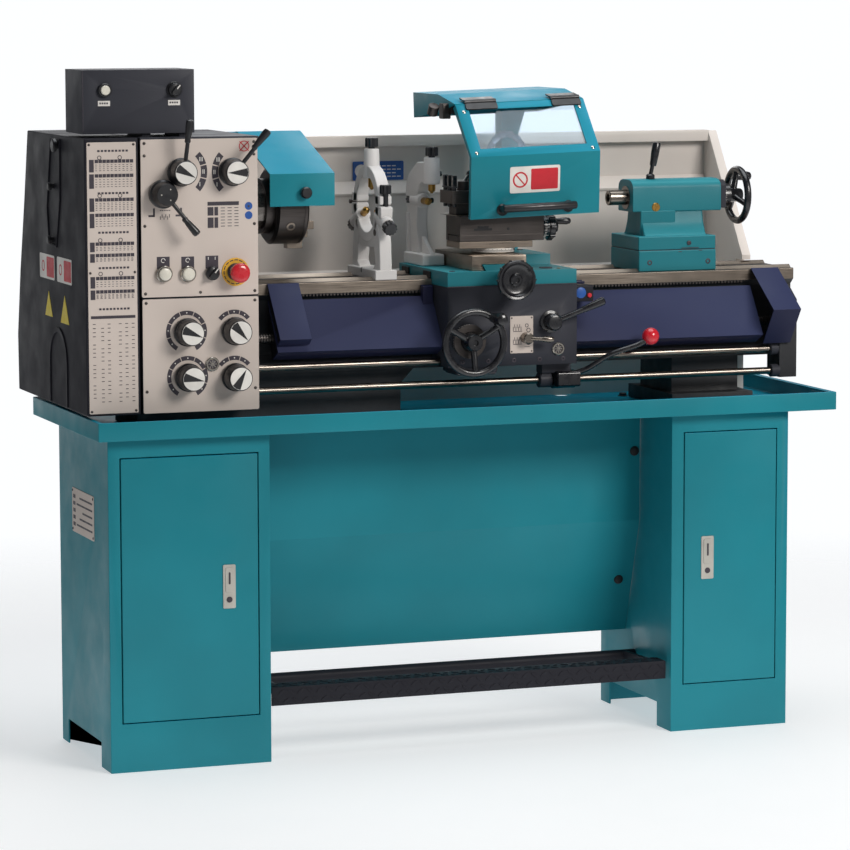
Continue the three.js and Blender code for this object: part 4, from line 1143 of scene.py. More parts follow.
def rests():
    y, z = SPINDLE
    x0, x1 = STEADY
    middle = (x0 + x1) / 2

    def around(r, turn):
        return middle, y + r * cos(radians(turn)), z + r * sin(radians(turn))

    def frame_body(bm):
        lower = ring_part((y, z), STEADY_BORE, STEADY_RIM, 180.5, 359.5, 36)
        add_prism(bm, lower, "x", x0, x1)
        left = [(-112, 1018), (-112, 1048), (-108, 1100), (-98, 1132), (-82, 1150), (-66, 1106),
            (-74, 1086),
                (-80, 1050), (-66, 1040), (-66, 1018)]
        add_prism(bm, left, "x", x0, x1)
        add_prism(bm, [(-40 - u, v) for u, v in left], "x", x0, x1)
        add_prism(bm, [(-82, 1092), (-70, 1112), (30, 1112), (42, 1092), (20, 1084), (-60, 1084)], "x",
            x0 + 1, x1 - 1)
        add_box(bm, middle - 25, middle + 25, -114, 74, 1016.4, 1038)
        add_prism(bm, rounded(-118, -80, 1150, 1176.4, 5), "x", x0, x1)
        add_prism(bm, rounded(40, 78, 1150, 1176.4, 5), "x", x0, x1)
    make("steady_casting", "steady_frame", "white", frame_body, 2.6, stands_for=True)

    def bosses(bm):
        for t in STEADY_FINGERS:
            add_bar(bm, around(60, t), around(114, t), 16.5, 15.5, 40)
    make("steady_finger_bosses", "steady_frame", "white", bosses, 1.6)

    def lower_knobs(bm):
        for t in STEADY_FINGERS:
            knurled_knob(bm, around(116, t), (0, cos(radians(t)), sin(radians(t))), 14.5, 19)
    make("steady_lower_knobs", "steady_frame", "black", lower_knobs)

    def lower_fingers(bm):
        for t in STEADY_FINGERS:
            finger(bm, around(34, t), around(70, t))
    make("steady_lower_fingers", "steady_frame", "brass", lower_fingers)

    def clamp(bm):
        add_turned(bm, (middle, -110, 1168), (0, 0, 1), [(0, 6), (34, 6)], 24)
        knurled_knob(bm, (middle, -110, 1203), (0, 0, 1), 12, 20, 3)
    make("steady_clamp_screw", "steady_cap", "black", clamp)

    def cap_body(bm):
        add_prism(bm, ring_part((y, z), STEADY_BORE, STEADY_RIM, 0.5, 179.5, 36), "x", x0, x1)
        add_prism(bm, rounded(-112, -80, 1178.9, 1200, 5), "x", x0, x1)
        add_prism(bm, rounded(40, 74, 1178.9, 1200, 5), "x", x0, x1)
    make("steady_cap_casting", "steady_cap", "white", cap_body, 2.6, stands_for=True)
    make("steady_cap_boss", "steady_cap", "white", lambda bm: add_turned(
        bm, (middle, y, 1234), (0, 0, 1), [(0, 20), (10, 18), (60, 16.5), (64, 15)], 44), 1.0)
    make("steady_top_knob", "steady_cap", "black", lambda bm: knurled_knob(
        bm, (middle, y, 1301), (0, 0, 1), 13.5, 20.5, 5))
    make("steady_top_finger", "steady_cap", "brass", lambda bm: finger(
        bm, (middle, y, 1208), (middle, y, 1240)))
    make("steady_hinge_pin", "steady_frame", "steel_dark", lambda bm: add_turned(
        bm, (x0 - 3, 82, 1177.6), (1, 0, 0), [(0, 4), (1, 5), (33, 5), (34, 4)], 24))

    def nuts(bm):
        for side in (-1, 1):
            add_turned(bm, (middle + side * 17, y, 1028), (0, 0, 1), [(0, 9), (9, 9), (10, 8), (10, 0)], 6)
            add_bar(bm, (x0 - 1.5 if side < 0 else x1 + 1.5, y - 60, 1118),
                (x0 + 2 if side < 0 else x1 - 2, y - 60, 1118), 7)
    make("steady_lock_screws", "steady_frame", "steel_dark", nuts)
    follow_rest()


def follow_rest():
    x = -18

    def casting_body(bm):
        add_prism(bm, rounded(-30, 94, 1037.6, 1063, 5), "x", -44, 8)
        back = [(28, 1060), (94, 1060), (93, 1110)] + arc((58, 1190), 58, -20, 64, 12)
        rest = [(40, 1264), (-22, 1266), (-33, 1250), (-33, 1226), (-4, 1219)]
        inner = arc((2, 1180), 41, 74, -20, 12) + [(45, 1120)]
        add_prism(bm, back + rest + inner, "x", -31, -5)
    make("follow_rest_casting", "follow_rest", "white", casting_body, 2.8, stands_for=True)
    make("follow_rest_top_boss", "follow_rest", "white", lambda bm: add_turned(
        bm, (x, -20, 1217), (0, 0, 1), [(0, 15), (2, 18), (56, 17.5), (59, 16)], 44), 1.0)
    make("follow_rest_back_boss", "follow_rest", "white", lambda bm: add_turned(
        bm, (x, 30, 1178), (0, 1, 0), [(0, 15), (4, 17), (54, 16)], 44), 1.0)
    make("follow_rest_ribs", "follow_rest", "white", lambda bm: (
        add_prism(bm, [(80, 1060), (94, 1060), (92, 1150), (88, 1150)], "x", -38, 2),
        add_prism(bm, [(-26, 1060), (-26, 1064), (30, 1100), (30, 1060)], "x", -24, -14)), 1.6)

    def knobs(bm):
        knurled_knob(bm, (x, -20, 1279), (0, 0, 1), 13.5, 20, 4)
        knurled_knob(bm, (x, 88, 1178), (0, 1, 0), 14.5, 22, 4)
    make("follow_rest_knobs", "follow_rest", "black", knobs)

    def fingers(bm):
        finger(bm, (x, -20, 1197), (x, -20, 1220))
        finger(bm, (x, -3, 1178), (x, 34, 1178))
    make("follow_rest_fingers", "follow_rest", "brass", fingers)

    def locks(bm):
        for place in ((-4, -20, 1240), (-4, 34, 1178)):
            add_turned(bm, place, (1, 0, 0), [(-2, 4), (4, 4), (4, 6), (8, 6), (9, 5), (9, 0)], 20)
    make("follow_rest_lock_screws", "follow_rest", "black", locks)


# ---- carriage ----
APRON_FACE = -216


DIAL_LINES = 40
SPOKE_RADII = [8.5, 8, 7.6, 7.2, 7, 6.8, 6.6, 6.5, 6.5, 6.5, 6.5]


def rim_wheel(bm, centre, direction, r, rim, hub, depth, turn):
    """Handwheel with a round rim at depth along the axis, three dished spokes and a stepped hub."""
    place = turn_to(direction)
    centre = Vector(centre)
    across = place.to_3x3() @ Vector((1, 0, 0))
    up = place.to_3x3() @ Vector((0, 1, 0))
    along = Vector(direction).normalized()
    add_torus(bm, centre + along * depth, direction, r - rim, rim, 72)
    add_turned(bm, centre, direction, hub, 48)
    for i in range(3):
        t = 2 * pi * i / 3 + turn
        out = across * cos(t) + up * sin(t)
        inner = centre + along * (depth - 10) + out * 10
        outer = centre + along * depth + out * (r - rim * 1.4)
        add_tube(bm, smooth_line([inner, (inner + outer) / 2 + along * 1.5, outer], 5), SPOKE_RADII, 14)


def grip(bm, base, direction, length, r):
    add_turned(bm, base, direction, [
        (0, r * 0.5), (6, r * 0.5), (6, r * 0.8), (8, r * 0.95), (length * 0.45, r * 1.1),
            (length * 0.8, r * 1.25),
        (length - 3, r), (length - 0.6, r * 0.6), (length, 0)], 32)


def carriage():
    dress("saddle", "casting_teal", 2.6)
    dress("apron", "charcoal", 3.0)
    dress("carriage_guard", "navy", 0.8, smooth=10)
    dress("left_fixed_guard", "navy", 0.8, smooth=10)
    dress("right_fixed_guard", "navy", 0.8, smooth=10)
    guard_ends()
    wheel_centre = (-11.5, APRON_FACE, 888.5)

    def wheel(bm):
        rim_wheel(bm, wheel_centre, (0, -1, 0), 75, 8, [
            (0.5, 33), (1, 34.5), (15, 36), (17, 22), (20, 20), (55, 18), (58, 16), (58, 7), (54, 6),
                (54, 0)], 52, 0.55)
    make("carriage_wheel", "carriage_handwheel", "enamel", wheel, stands_for=True)
    make("carriage_wheel_dial", "carriage_handwheel", "steel_dark", lambda bm: add_turned(
        bm, wheel_centre, (0, -1, 0), [(16.8, 36.4), (17.2, 37), (24, 37), (24.6, 36.4), (24.6, 21),
            (16.8, 21)], 72, closed=True))
    make("carriage_wheel_grip", "carriage_handwheel", "enamel", lambda bm: grip(
        bm, (30.5, APRON_FACE - 50, 941.5), (0, -1, 0), 67, 11.5))
    dial_ticks("carriage_dial_ticks", "carriage_handwheel", wheel_centre, (0, -1, 0), 37, 18, 23)

    cross_centre = (79.5, -232, 1022)

    def cross_wheel(bm):
        add_turned(bm, cross_centre, (0, -1, 0), [
            (2, 20), (2.6, 22.5), (4, 24), (17, 26), (19, 18), (30, 18), (38, 24), (43, 38), (46, 43),
                (55, 43),
            (57, 41), (56, 37), (50, 33), (47, 27), (47, 15), (52, 13.5), (54, 11), (54, 6), (51, 5),
                (51, 0)], 72)
        for i in range(10):
            t = 2 * pi * i / 10
            place = Vector(cross_centre) + Vector((43 * cos(t), -50, 43 * sin(t)))
            add_turned(bm, place, (0, -1, 0), [(-5, 2.2), (5, 2.2), (6, 1.2), (6, 0)], 12)
    make("cross_wheel", "cross_handwheel", "enamel", cross_wheel, stands_for=True)
    dial_ticks("cross_dial_ticks", "cross_handwheel", cross_centre, (0, -1, 0), 25, 7, 14)

    def half_nut(bm):
        hub = Vector((184, APRON_FACE, 924))
        add_turned(bm, hub, (0, -1, 0), [
            (0.4, 23), (1, 24), (5, 24), (6.5, 18.5), (28, 18.5), (32.5, 15), (34, 10), (34, 0)], 44)
        add_tube(bm, smooth_line([hub + Vector(p) for p in ((0, -20, 0), (30, -25, 12), (66, -30, 26),
            (74, -31, 29))], 6), 6, 16)
        tip, base = hub + Vector((114, -34.4, 45)), hub + Vector((66, -29, 26))
        length = (tip - base).length
        add_turned(bm, base, tip - base, [(-3, 6), (0, 7), (length * 0.5, 8.6), (length - 3, 9),
            (length, 6.5), (length, 0)], 28)
    make("half_nut_handle", "half_nut_lever", "enamel", half_nut, stands_for=True)

    def feed(bm):
        hub = Vector((126, APRON_FACE, 890))
        add_turned(bm, hub, (0, -1, 0), [(0.4, 11), (1, 12), (22, 12), (24, 10), (24, 0)], 36)
        add_tube(bm, smooth_line([hub + Vector(p) for p in ((0, -18, 0), (18, -24, -1), (36, -28, -2),
            (54, -30, -3))], 6),
                 [4.5] * 10 + [5.2, 5.8, 6.4, 6.8, 7, 7, 6.8, 6.2, 5], 16)
    make("feed_lever_bar", "feed_lever", "rod_steel", feed, stands_for=True)

    def start(bm):
        add_turned(bm, (208, *CONTROL_ROD), (1, 0, 0), [
            (0, 18.5), (1.5, 20), (52.5, 20), (54, 18.5), (54, 8.6), (0, 8.6)], 48)
        add_prism(bm, rounded(-205, -172, 777, 811, 6), "x", 209, 261)
    make("start_lever_hub", "start_lever", "enamel", start, 1.0)
    path = smooth_line([(235, -190, 800), (280, -200, 816), (325, -218, 846), (385, -230, 866),
        (408, -232, 878)], 8)
    make("start_lever_shaft", "start_lever", "enamel", lambda bm: add_tube(bm, path, 6, 18),
        stands_for=True)
    make("start_lever_ball", "start_lever", "red", lambda bm: add_ball(bm, (416, -232, 885), 19, 40))
    carriage_details()


def dial_ticks(name, node, centre, direction, r, near, far):
    """Fine engraved lines round a dial, every fifth one longer."""
    place = turn_to(direction).to_3x3()
    centre = Vector(centre)
    along = Vector(direction).normalized()

    def ticks(bm):
        for i in range(DIAL_LINES):
            t = 2 * pi * i / DIAL_LINES
            out = place @ Vector((cos(t), sin(t), 0))
            side = along.cross(out)
            reach = far if i % 5 == 0 else (near + far) / 2
            corners = []
            for a, w in ((near, -0.4), (reach, -0.4), (reach, 0.4), (near, 0.4)):
                corners.append(centre + along * a + side * w + out * (r + 0.25))
            add_plate(bm, [c - out * 0.6 for c in corners], corners)
    printed(name, node, "paper", ticks)


def guard_ends():
    """Black end plates of the travelling guard and cheeks of the fixed ones."""
    def plates(bm):
        for x in (-430, -56.5, 248.5, 705):
            add_prism(bm, [(-118.5, 978), (-189, 875.5), (-150.5, 856.5), (-118, 900)], "x", x + 0.6,
                x + 2.4)
    make("guard_end_plates", "carriage_guard", "dark", plates, 0.5)
    def fixed_left(bm):
        add_prism(bm, [(-116.5, 1014), (-204, 903), (-187, 891), (-118, 975)], "x", -428, -426)
    make("left_guard_cheek", "left_fixed_guard", "dark", fixed_left, 0.5)
    def fixed_right(bm):
        add_prism(bm, [(-117, 1017), (-238, 934), (-184, 857), (-178, 870), (-192, 926), (-120, 985)], "x",
            774, 776)
    make("right_guard_cheeks", "right_fixed_guard", "dark", fixed_right, 0.5)


def carriage_details():
    face = APRON_FACE
    printed("feed_plate", "apron", "panel", lambda bm: add_prism(
        bm, rounded(90.5, 144, 857, 938, 1.5), "y", face + 0.1, face - 1.2), 0.2)

    def plate_print(bm):
        top = face - 1.2
        for z0 in (906, 878):
            for i in range(7):
                strip(bm, 97 + i * 3, 98.2 + i * 3, z0 + 6 * (i % 2), z0 + 9 + 5 * (i % 2), top)
            strip(bm, 97, 118, z0 - 2, z0 - 0.8, top)
            add_prism(bm, ring_part((129, z0 + 11), 2.8, 4.2, 0, 359, 20), "y", top + 0.1, top - INK_DEPTH)
            add_prism(bm, ring_part((133, z0 + 1), 3.4, 4.8, 0, 359, 20), "y", top + 0.1, top - INK_DEPTH)
        strip(bm, 124, 136, 870, 871, top)
    printed("feed_plate_print", "apron", "ink_and_painted_shade", plate_print)
    screws("feed_plate_screws", "apron", [(x, face - 1.2, z) for x in (94, 140.5) for z in (861, 934)], r=2,
        high=1)
    sight_glass("apron_sight_glass", "apron", (203, face, 863.5), 14)

    def gib_screws(bm):
        for x in (-20, 40, 100, 160, 215):
            add_turned(bm, (x, face - 0.1, 842), (0, -1, 0), [(-1, 5), (0.3, 5), (0.8, 4.2), (0.8, 2.6),
                (-0.6, 2.4), (-0.6, 0)], 24)
    make("apron_screws", "apron", "ink_and_painted_shade", gib_screws)

    def foot(bm):
        add_prism(bm, [(-200, 829.6), (-206, 812), (-130, 812), (-130, 829.6)], "x", -28, 62)
        add_prism(bm, rounded(-206, -120, 815, 833, 4), "x", -30, 64)
    make("apron_lower_boss", "apron", "charcoal", foot, 2.0)

    def seam(bm):
        add_box(bm, -53.2, 247.2, face - 0.25, face + 1, 1004.8, 1006.2)
    make("saddle_seam", "apron", "ink_and_painted_shade", seam)

    def saddle_parts(bm):
        add_turned(bm, (192, -170, 1036.9), (0, 0, 1), [(-0.5, 15), (1.2, 15), (2, 14), (2, 8), (1, 7),
            (1, 0)], 36)
        for x, y in ((-34, -190), (-34, 70), (226, 70), (172, -40)):
            z = 1059.9 if x > 150 and y > -60 else 1036.9
            add_turned(bm, (x, y, z), (0, 0, 1), [(-0.5, 6.5), (1, 6.5), (1.6, 5.6), (1.6, 3.4), (0.2, 3.2),
                (0.2, 0)], 24)
    make("saddle_screws", "saddle", "ink_and_painted_shade", saddle_parts)
    make("saddle_oil_ball", "saddle", "brass", lambda bm: add_turned(
        bm, (214, -190, 1037), (0, 0, 1), [(-0.5, 4), (1, 4), (1.6, 2.6), (1.2, 0)], 20))

    def wipers(bm):
        for x, side in ((-53, -1), (247, 1)):
            for y in (-89, 49):
                a, b = sorted((x + side * 0.2, x + side * 3.4))
                add_prism(bm, [(y - 22, 1016.8), (y + 22, 1016.8), (y + 22, 1032), (y - 22, 1032)], "x", a,
                    b)
    make("saddle_wipers", "saddle", "rubber", wipers, 0.6)

    def dial_box(bm):
        add_prism(bm, rounded(-190, -140, 962, 998, 4), "x", 249, 297)
    make("thread_dial_box", "saddle", "dark", dial_box, 1.4)
    def dial_label(bm):
        add_turned(bm, (267, -190, 982), (0, -1, 0), [(-0.2, 12), (1.2, 12), (1.8, 11), (1.8, 0)], 36)
    printed("thread_dial_face", "saddle", "print_blue", dial_label)
    make("thread_dial_button", "saddle", "print_red", lambda bm: add_turned(
        bm, (287, -190, 976), (0, -1, 0), [(-0.2, 5), (3, 5), (4, 4), (4, 0)], 24))

    make("rod_bracket", "apron", "charcoal", lambda bm: (
        add_prism(bm, rounded(-184, -150, 806, 831, 5), "x", 178, 246),
        add_turned(bm, (176, *CONTROL_ROD), (1, 0, 0), [(0, 15), (1.5, 17), (28, 17), (29.5, 15),
            (29.5, 8.6), (0, 8.6)], 40),
        add_prism(bm, [(-180, 791), (-150, 791), (-152, 810), (-178, 810)], "x", 180, 202)), 1.0)


# ---- cross slide, compound, tool post ----
COMPOUND = (93, -107)
TOP_SLIDE_AXIS = (-107, 1124)


def slides():
    dress("cross_slide", "steel", 1.4)

    def base(bm):
        add_turned(bm, (*COMPOUND, 1070.4), (0, 0, 1), [(0, 46), (1, 47), (10, 47), (12.4, 46)], 96)
        add_box(bm, -1, 170, -148, -66, 1082.6, 1096.6)
    make("compound_swivel_base", "compound_base", "steel", base, 1.0, stands_for=True)
    make("compound_gib", "compound_base", "steel_dark", lambda bm: add_prism(
        bm, [(-136, 1097), (-79, 1097), (-78, 1109), (-137, 1109)], "x", -0.6, 139), 0.4)

    def ring_marks(bm):
        for i in range(60):
            t = radians(200 + i * 2.4)
            x, y = COMPOUND[0] + 47.3 * cos(t), COMPOUND[1] + 47.3 * sin(t)
            tall = 6 if i % 5 == 0 else 3.6
            c, s = cos(t), sin(t)
            corners = [(x - s * w + c * d, y + c * w + s * d) for d,
                w in ((-1, -0.35), (0, -0.35), (0, 0.35), (-1, 0.35))]
            add_prism(bm, corners, "z", 1074.4, 1074.4 + tall)
    make("swivel_ring_marks", "compound_base", "ink_and_painted_shade", ring_marks)
    make("swivel_ring", "compound_base", "paper", lambda bm: add_turned(
        bm, (*COMPOUND, 1073), (0, 0, 1), [(0, 46.8), (0, 47.15), (8.6, 47.15), (8.6, 46.8)], 96,
            closed=True))

    def slide(bm):
        add_box(bm, -1, 196, -150, -64, 1110.8, 1153)
        for y0, y1 in ((-150, -138.2), (-75.8, -64)):
            add_box(bm, -1, 196, y0, y1, 1097, 1112)
        add_box(bm, 178.4, 196, -139, -75, 1097, 1112)
    # The top slide takes the dark steel as painted shade from the chip shield above it.
    make("top_slide_body", "top_slide", "steel_dark", slide, 1.2, stands_for=True)
    # The front slot and hole are black sheets of painted shade in their recesses.
    make("top_slide_front_slot", "top_slide", "black", lambda bm: (
        add_box(bm, 32, 74, -150.4, -149, 1121, 1126),
        add_box(bm, 40, 66, -150.4, -149, 1125.6, 1131),
        add_turned(bm, (112, -149.6, 1124), (0, -1, 0), [(0, 3.4), (0.6, 3.4), (0.8, 2.6), (0.8, 0)], 20)))
    screws("top_slide_screws", "top_slide", [(170, -107, 1153), (88, -80, 1153), (88, -134, 1153)],
        (0, 0, 1), 6, 3)

    def boss(bm):
        add_turned(bm, (195, *TOP_SLIDE_AXIS), (1, 0, 0), [(0, 26), (1, 26.6), (6, 26.6), (7, 25.6), (7, 7),
            (0, 7)], 56)
    make("top_slide_bearing", "top_slide", "steel_turned", boss)
    centre = Vector((196, *TOP_SLIDE_AXIS))

    def crank(bm):
        add_turned(bm, centre, (1, 0, 0), [
            (7.4, 24), (8, 26), (22, 26.6), (23, 29), (34, 29), (36, 27.6), (37, 16), (46, 13), (47, 0)],
                56)
        for i in range(8):
            t = 2 * pi * i / 8
            add_bar(bm, centre + Vector((24, 28 * cos(t), 28 * sin(t))),
                centre + Vector((35.4, 28 * cos(t), 28 * sin(t))), 3.4, sides=14)
        grip(bm, centre + Vector((34, 14, 10)), (1, 0, 0), 52, 6.4)
    make("top_slide_wheel", "top_slide_crank", "enamel", crank, stands_for=True)
    dial_ticks("top_slide_dial_ticks", "top_slide_crank", centre, (1, 0, 0), 26.4, 10, 20)

    x, y = 20, -107

    def post(bm):
        add_box(bm, x - 37, x + 38, y - 37, y + 38, 1180, 1208)
        add_box(bm, x - 22, x + 22, y - 22, y + 22, 1153.4, 1180.5)
        add_turned(bm, (x + 4, y, 1207.5), (0, 0, 1), [(0, 15), (2, 15), (4, 14), (19, 13), (20, 11),
            (20, 0)], 44)
    # The turret takes the dark steel as painted shade from the chip shield above it.
    make("tool_post_turret", "tool_post", "steel_dark", post, 1.0, stands_for=True)
    make("tool_post_lower_plate", "tool_post", "steel", lambda bm: add_box(
        bm, x - 37, x + 38, y - 37, y + 38, 1154.2, 1155), 0.3)

    def bolts(bm):
        for bx in (x - 28, x + 29):
            for by in (y - 27, y, y + 27):
                add_turned(bm, (bx, by, 1172), (0, 0, 1), [(0, 3.6), (1.4, 5), (44, 5)], 20)
                add_turned(bm, (bx, by, 1214), (0, 0, 1), [(0, 6.6), (0.8, 7.6), (2, 8), (3, 7.2)], 20)
                add_turned(bm, (bx, by, 1216), (0, 0, 1), [(0, 7), (24, 7), (25, 6.2), (25, 0)], 4, pi / 4)
    make("tool_post_bolts", "tool_post", "enamel", bolts, 0.5)
    make("tool_post_lever", "tool_post", "enamel", lambda bm: (
        add_bar(bm, (x + 4, y, 1222), (x + 30, y + 32, 1240), 4),
        add_ball(bm, (x + 31, y + 33, 1241), 8, 24)))


# ---- chip shield ----
SHIELD_PIVOT = Vector((200, 130, 1400))
SHIELD_LEAN = radians(1.8)


def tilt(x, y, z):
    """A place on the shield, which leans with its right end higher."""
    dx, dz = x - SHIELD_PIVOT.x, z - SHIELD_PIVOT.z
    return (SHIELD_PIVOT.x + dx * cos(SHIELD_LEAN) - dz * sin(SHIELD_LEAN), y,
            SHIELD_PIVOT.z + dx * sin(SHIELD_LEAN) + dz * cos(SHIELD_LEAN))


def shield():
    dress("chip_shield", "teal", 0.9, smooth=10)
    dress("shield_bracket", "teal", 1.0, smooth=10)
    slope = (Vector((0, -207, 1290)) - Vector((0, -116, 1401))).normalized()
    out = Vector((0, slope.z, -slope.y))
    front = Vector((0, 17, -136)).normalized()
    forward = Vector((0, -136, -17)).normalized()

    def on_slope(x, down, lift=0.0):
        return tilt(*(Vector((x, -116, 1401)) + slope * down + out * lift))

    def on_front(x, down, lift=0.0):
        return tilt(*(Vector((x, -207, 1290)) + front * down + forward * lift))

    def plate(bm, where, outline, low, high):
        add_plate(bm, *([where(u, v, lift) for u, v in outline] for lift in (low, high)))

    make("shield_pane", "chip_shield", "pane", lambda bm: plate(
        bm, on_slope, [(16, 6), (288, 6), (288, 130), (16, 130)], -4.6, -6.6), 0.3)
    printed("shield_label", "chip_shield", "paper", lambda bm: plate(
        bm, on_front, rounded(91, 208, 26, 84, 4), 0.1, 0.7))
    printed("shield_label_block", "chip_shield", "print_red", lambda bm: plate(
        bm, on_front, rounded(140, 203, 32, 78, 3), 0.6, 1.0))
    printed("shield_label_ring", "chip_shield", "print_red", lambda bm: (
        plate(bm, on_front, ring_part((115, 55), 14, 17.5, 0, 359, 36), 0.6, 1.0),
        plate(bm, on_front, [(104, 45), (106, 43), (126, 65), (124, 67)], 0.6, 1.05)))

    def hinges(bm):
        for x0, x1 in ((22, 96), (224, 292)):
            plate(bm, on_slope, rounded(x0, x1, 2, 18, 3), 0.2, 4.5)
            a, b = tilt(x0, -113.5, 1404.5), tilt(x1, -113.5, 1404.5)
            add_bar(bm, a, b, 5.5)
    make("shield_hinges", "chip_shield", "black", hinges, 0.6)

    def hinge_roof_leaves(bm):
        for x0, x1 in ((22, 96), (224, 292)):
            corners = [tilt(x0, -108, 1406.5), tilt(x1, -108, 1406.5), tilt(x1, -86, 1410.4),
                tilt(x0, -86, 1410.4)]
            add_plate(bm, corners, [(x, y, z + 3.4) for x, y, z in corners])
    make("shield_hinge_leaves", "shield_bracket", "black", hinge_roof_leaves, 0.6)

    def corner_screws(bm):
        for x, down in ((16, 22), (287, 22), (16, 134), (287, 134)):
            add_turned(bm, on_slope(x, down, 0), out, [(-0.3, 4), (1.2, 4), (2.2, 2.4), (2.4, 0)], 20)
    make("shield_screws", "chip_shield", "polished", corner_screws)

    def handle(bm):
        add_turned(bm, tilt(65, -222, 1176), Vector((cos(SHIELD_LEAN), 0, sin(SHIELD_LEAN))), [
            (0, 5), (1, 7.4), (3, 8.6), (169, 8.6), (171, 7.4), (172, 5)], 28)
        for x in (74, 228):
            add_bar(bm, tilt(x, -187, 1172), tilt(x, -222, 1176), 9.4, 8.2, 28)
            add_turned(bm, tilt(x, -192, 1172), (0, -1, 0), [(0, 13), (4, 13), (7, 10), (7, 0)], 32)
    make("shield_handle", "chip_shield", "black", handle)

    def switch(bm):
        add_box(bm, 2, 40, -92, -44, 1372, 1392)
        add_turned(bm, (-30, -64, 1384), (0, -0.6, 1), [(-14, 10), (-13, 12), (8, 12), (9, 10), (9, 0)], 24)
        add_prism(bm, rounded(-76, -50, 1362, 1396, 4), "x", -12, 6)
    make("shield_switch", "shield_bracket", "steel_dark", switch, 0.8)
    hose()


def hose():
    """Articulated coolant hose: ball segments from a tap on the saddle, up and over to the tool."""
    line = smooth_line([
        (172, 78, 1072), (172, 78, 1100), (173, 80, 1150), (166, 78, 1210), (152, 70, 1262),
            (156, 56, 1304),
        (180, 36, 1322), (203, 12, 1304), (208, -4, 1262), (207, -8, 1240)], 16)
    segment = (6.4, 7.2, 7.9, 8.2, 8.2, 7.9, 7.2, 6.4)
    radii = [segment[i % len(segment)] for i in range(len(line))]
    make("coolant_hose", "saddle", "hose", lambda bm: add_tube(bm, line, radii, 20))
    make("coolant_tap", "saddle", "brass", lambda bm: (
        add_turned(bm, (172, 78, 1059.8), (0, 0, 1), [(0, 12), (3, 12), (3, 8.5), (12, 8.5), (14, 7)], 32),
        add_turned(bm, (172, 70, 1066), (0, -1, 0), [(-2, 3), (10, 3), (10, 5), (14, 5), (14, 0)], 20)))
    make("coolant_nozzle", "saddle", "brass", lambda bm: add_turned(
        bm, (207, -8, 1244), (0.0, -0.22, -1), [(0, 8.4), (3, 9), (12, 9), (14, 6), (34, 4), (34, 2)], 32))


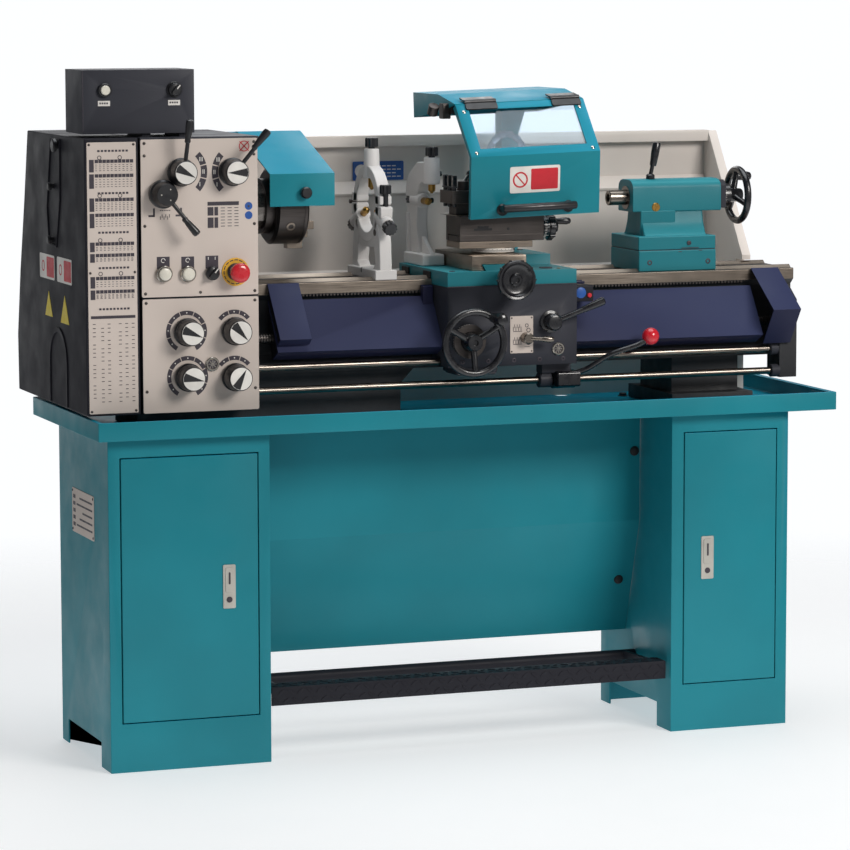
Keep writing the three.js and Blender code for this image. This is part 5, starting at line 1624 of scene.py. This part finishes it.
# ---- tailstock ----
def tailstock():
    y, z = SPINDLE

    def base(bm):
        add_box(bm, 444, 632, -100, 62, 1016.4, 1062.6)
        add_box(bm, 444, 632, -98, 60, 1063.4, 1094)
    make("tailstock_base", "tailstock", "casting_teal", base, 2.6, stands_for=True)
    make("tailstock_parting_line", "tailstock", "ink_and_painted_shade", lambda bm: add_box(bm, 445, 631, -98.4, 60.4, 1062.4,
        1063.6))

    def column(bm):
        profile = [(-84, 1092), (-74, 1100), (-62, 1124), (-56, 1152), (16, 1152), (22, 1124), (34, 1100),
            (44, 1092)]
        add_prism(bm, profile, "x", 466, 618)
    make("tailstock_column", "tailstock", "casting_teal", column, 5.0, segments=4)

    def barrel(bm):
        left = [(-60, 1147), (-62, 1149), (-62, 1200), (-59, 1209), (-50, 1216), (-38, 1218.6)]
        right = [(-40 - u, v) for u, v in reversed(left)]
        add_prism(bm, left + right, "x", 445, 661)
    make("tailstock_barrel", "tailstock", "casting_teal", barrel, 3.5, segments=4)
    make("tailstock_front_pad", "tailstock", "casting_teal", lambda bm: add_prism(
        bm, rounded(464, 549, 1092, 1150, 3), "y", -63, -40), 4.0, segments=4)
    make("tailstock_front_ring", "tailstock", "steel_turned", lambda bm: add_turned(
        bm, (443.6, y, z), (1, 0, 0), [(0, 18), (0, 26), (1.6, 26), (1.6, 18)], 64, closed=True))
    make("tailstock_collar", "tailstock", "charcoal", lambda bm: add_prism(
        bm, [(-58, 1152), (-59, 1204), (-46, 1215), (6, 1215), (19, 1204), (18, 1152)], "x", 661.4, 675.4),
            2.0)
    make("tailstock_oil_plug", "tailstock", "brass", lambda bm: add_turned(
        bm, (501, -60.6, 1157), (0, -1, 0), [(-1, 10), (1.6, 10), (2.6, 9), (2.6, 3), (1.6, 2.4), (1.6, 0)],
            40))

    def base_parts(bm):
        for x, zz, r in ((566, 1078, 5), (612, 1036, 6), (470, 1036, 6)):
            add_turned(bm, (x, -99.6, zz), (0, -1, 0), [(-1, r), (0.6, r), (1.2, r - 1), (1.2, r * 0.5),
                (0, r * 0.45), (0, 0)], 24)
        for x0, x1, z0 in ((540, 548, 1058), (548, 590, 1066), (590, 598, 1060)):
            add_box(bm, x0, x1, -100.3, -99.6, z0, z0 + 1.6)
    make("tailstock_screws", "tailstock", "ink_and_painted_shade", base_parts)

    def clamp_nut(bm):
        add_turned(bm, (480, y, 1094), (0, 0, 1), [(0, 16), (1.6, 16), (1.6, 12), (12, 12), (13, 11),
            (13, 0)], 6)
    make("tailstock_clamp_nut", "tailstock", "steel_dark", clamp_nut, 0.6)

    def quill(bm):
        add_turned(bm, (402, y, z), (1, 0, 0), [(0, 15.6), (1.4, 17), (198, 17), (198, 8), (48, 8),
            (0.6, 9.6)], 64, closed=True)
    make("quill_tube", "quill", "rod_steel", quill, stands_for=True)

    def scale(bm):
        for i in range(9):
            x = 408 + i * 4
            reach = 0.24 if i % 5 else 0.4
            add_prism(bm, [(y - 17.2 * cos(a), z + 17.2 * sin(a)) for a in (0.25, 0.25 + reach)]
                      + [(y - 16.6 * cos(a), z + 16.6 * sin(a)) for a in (0.25 + reach, 0.25)], "x", x,
                          x + 0.6)
    make("quill_scale", "quill", "ink_and_painted_shade", scale)
    centre = (676, y, z)

    def wheel(bm):
        rim_wheel(bm, centre, (1, 0, 0), 66, 8, [
            (0.5, 23), (1, 24.5), (18, 26), (20, 18), (26, 16), (50, 15), (53, 13.5), (53, 6), (50, 5),
                (50, 0)], 44, 0.9)
    make("tailstock_wheel", "tailstock_handwheel", "enamel", wheel, stands_for=True)
    dial_ticks("tailstock_dial_ticks", "tailstock_handwheel", centre, (1, 0, 0), 24.8, 4, 14)
    make("tailstock_wheel_grip", "tailstock_handwheel", "enamel", lambda bm: grip(
        bm, (720, y + 40, z + 40), (1, 0, 0), 52, 8.5))

    def lever(bm):
        add_turned(bm, (500, -32, 1218), (0, 0, 1), [(0.8, 9), (1.4, 10), (9, 10), (12, 7.5), (12, 0)], 32)
        add_bar(bm, (500, -32, 1226), (508, -32, 1262), 4.6)
        top = Vector((516, -32, 1301))
        low = Vector((506, -32, 1248))
        length = (top - low).length
        add_turned(bm, low, top - low, [(0, 6.4), (2, 7.6), (length * 0.5, 9), (length - 4, 9.6),
            (length - 1, 8), (length, 0)], 28)
    make("quill_lock_lever", "quill_lever", "enamel", lever, stands_for=True)


WALL_FACE = 258.9


def splash_details():
    def blue_label(bm):
        add_prism(bm, rounded(-106, 16, 1213, 1256, 3), "y", WALL_FACE, WALL_FACE - 0.5)
    printed("wall_label", "splash_guard", "print_blue", blue_label)
    def label_marks(bm):
        add_turned(bm, (-86, 258.4, 1234), (0, -1, 0), [(-0.1, 15), (0.3, 15), (0.3, 0)], 40)
        for row in range(4):
            for k in range(6 - row % 2):
                add_box(bm, -60 + k * 12, -51 + k * 12, 258.0, 258.5, 1220 + row * 8, 1222.4 + row * 8)
    printed("wall_label_marks", "splash_guard", "paper", label_marks)
    def rib(bm):
        add_prism(bm, [(WALL_FACE, 1206), (243, 1184), (243, 1178), (240, 1184), (256, 1209),
            (WALL_FACE, 1212)], "x", -469, 762)
    make("wall_rib", "splash_guard", "cream", rib, 1.0)


make_camera()
make_studio()
stand()
bed()
rods()
headstock()
gear_cover()
electrical_box_labels()
controls()
chuck()
rests()
carriage()
slides()
shield()
tailstock()
splash_details()
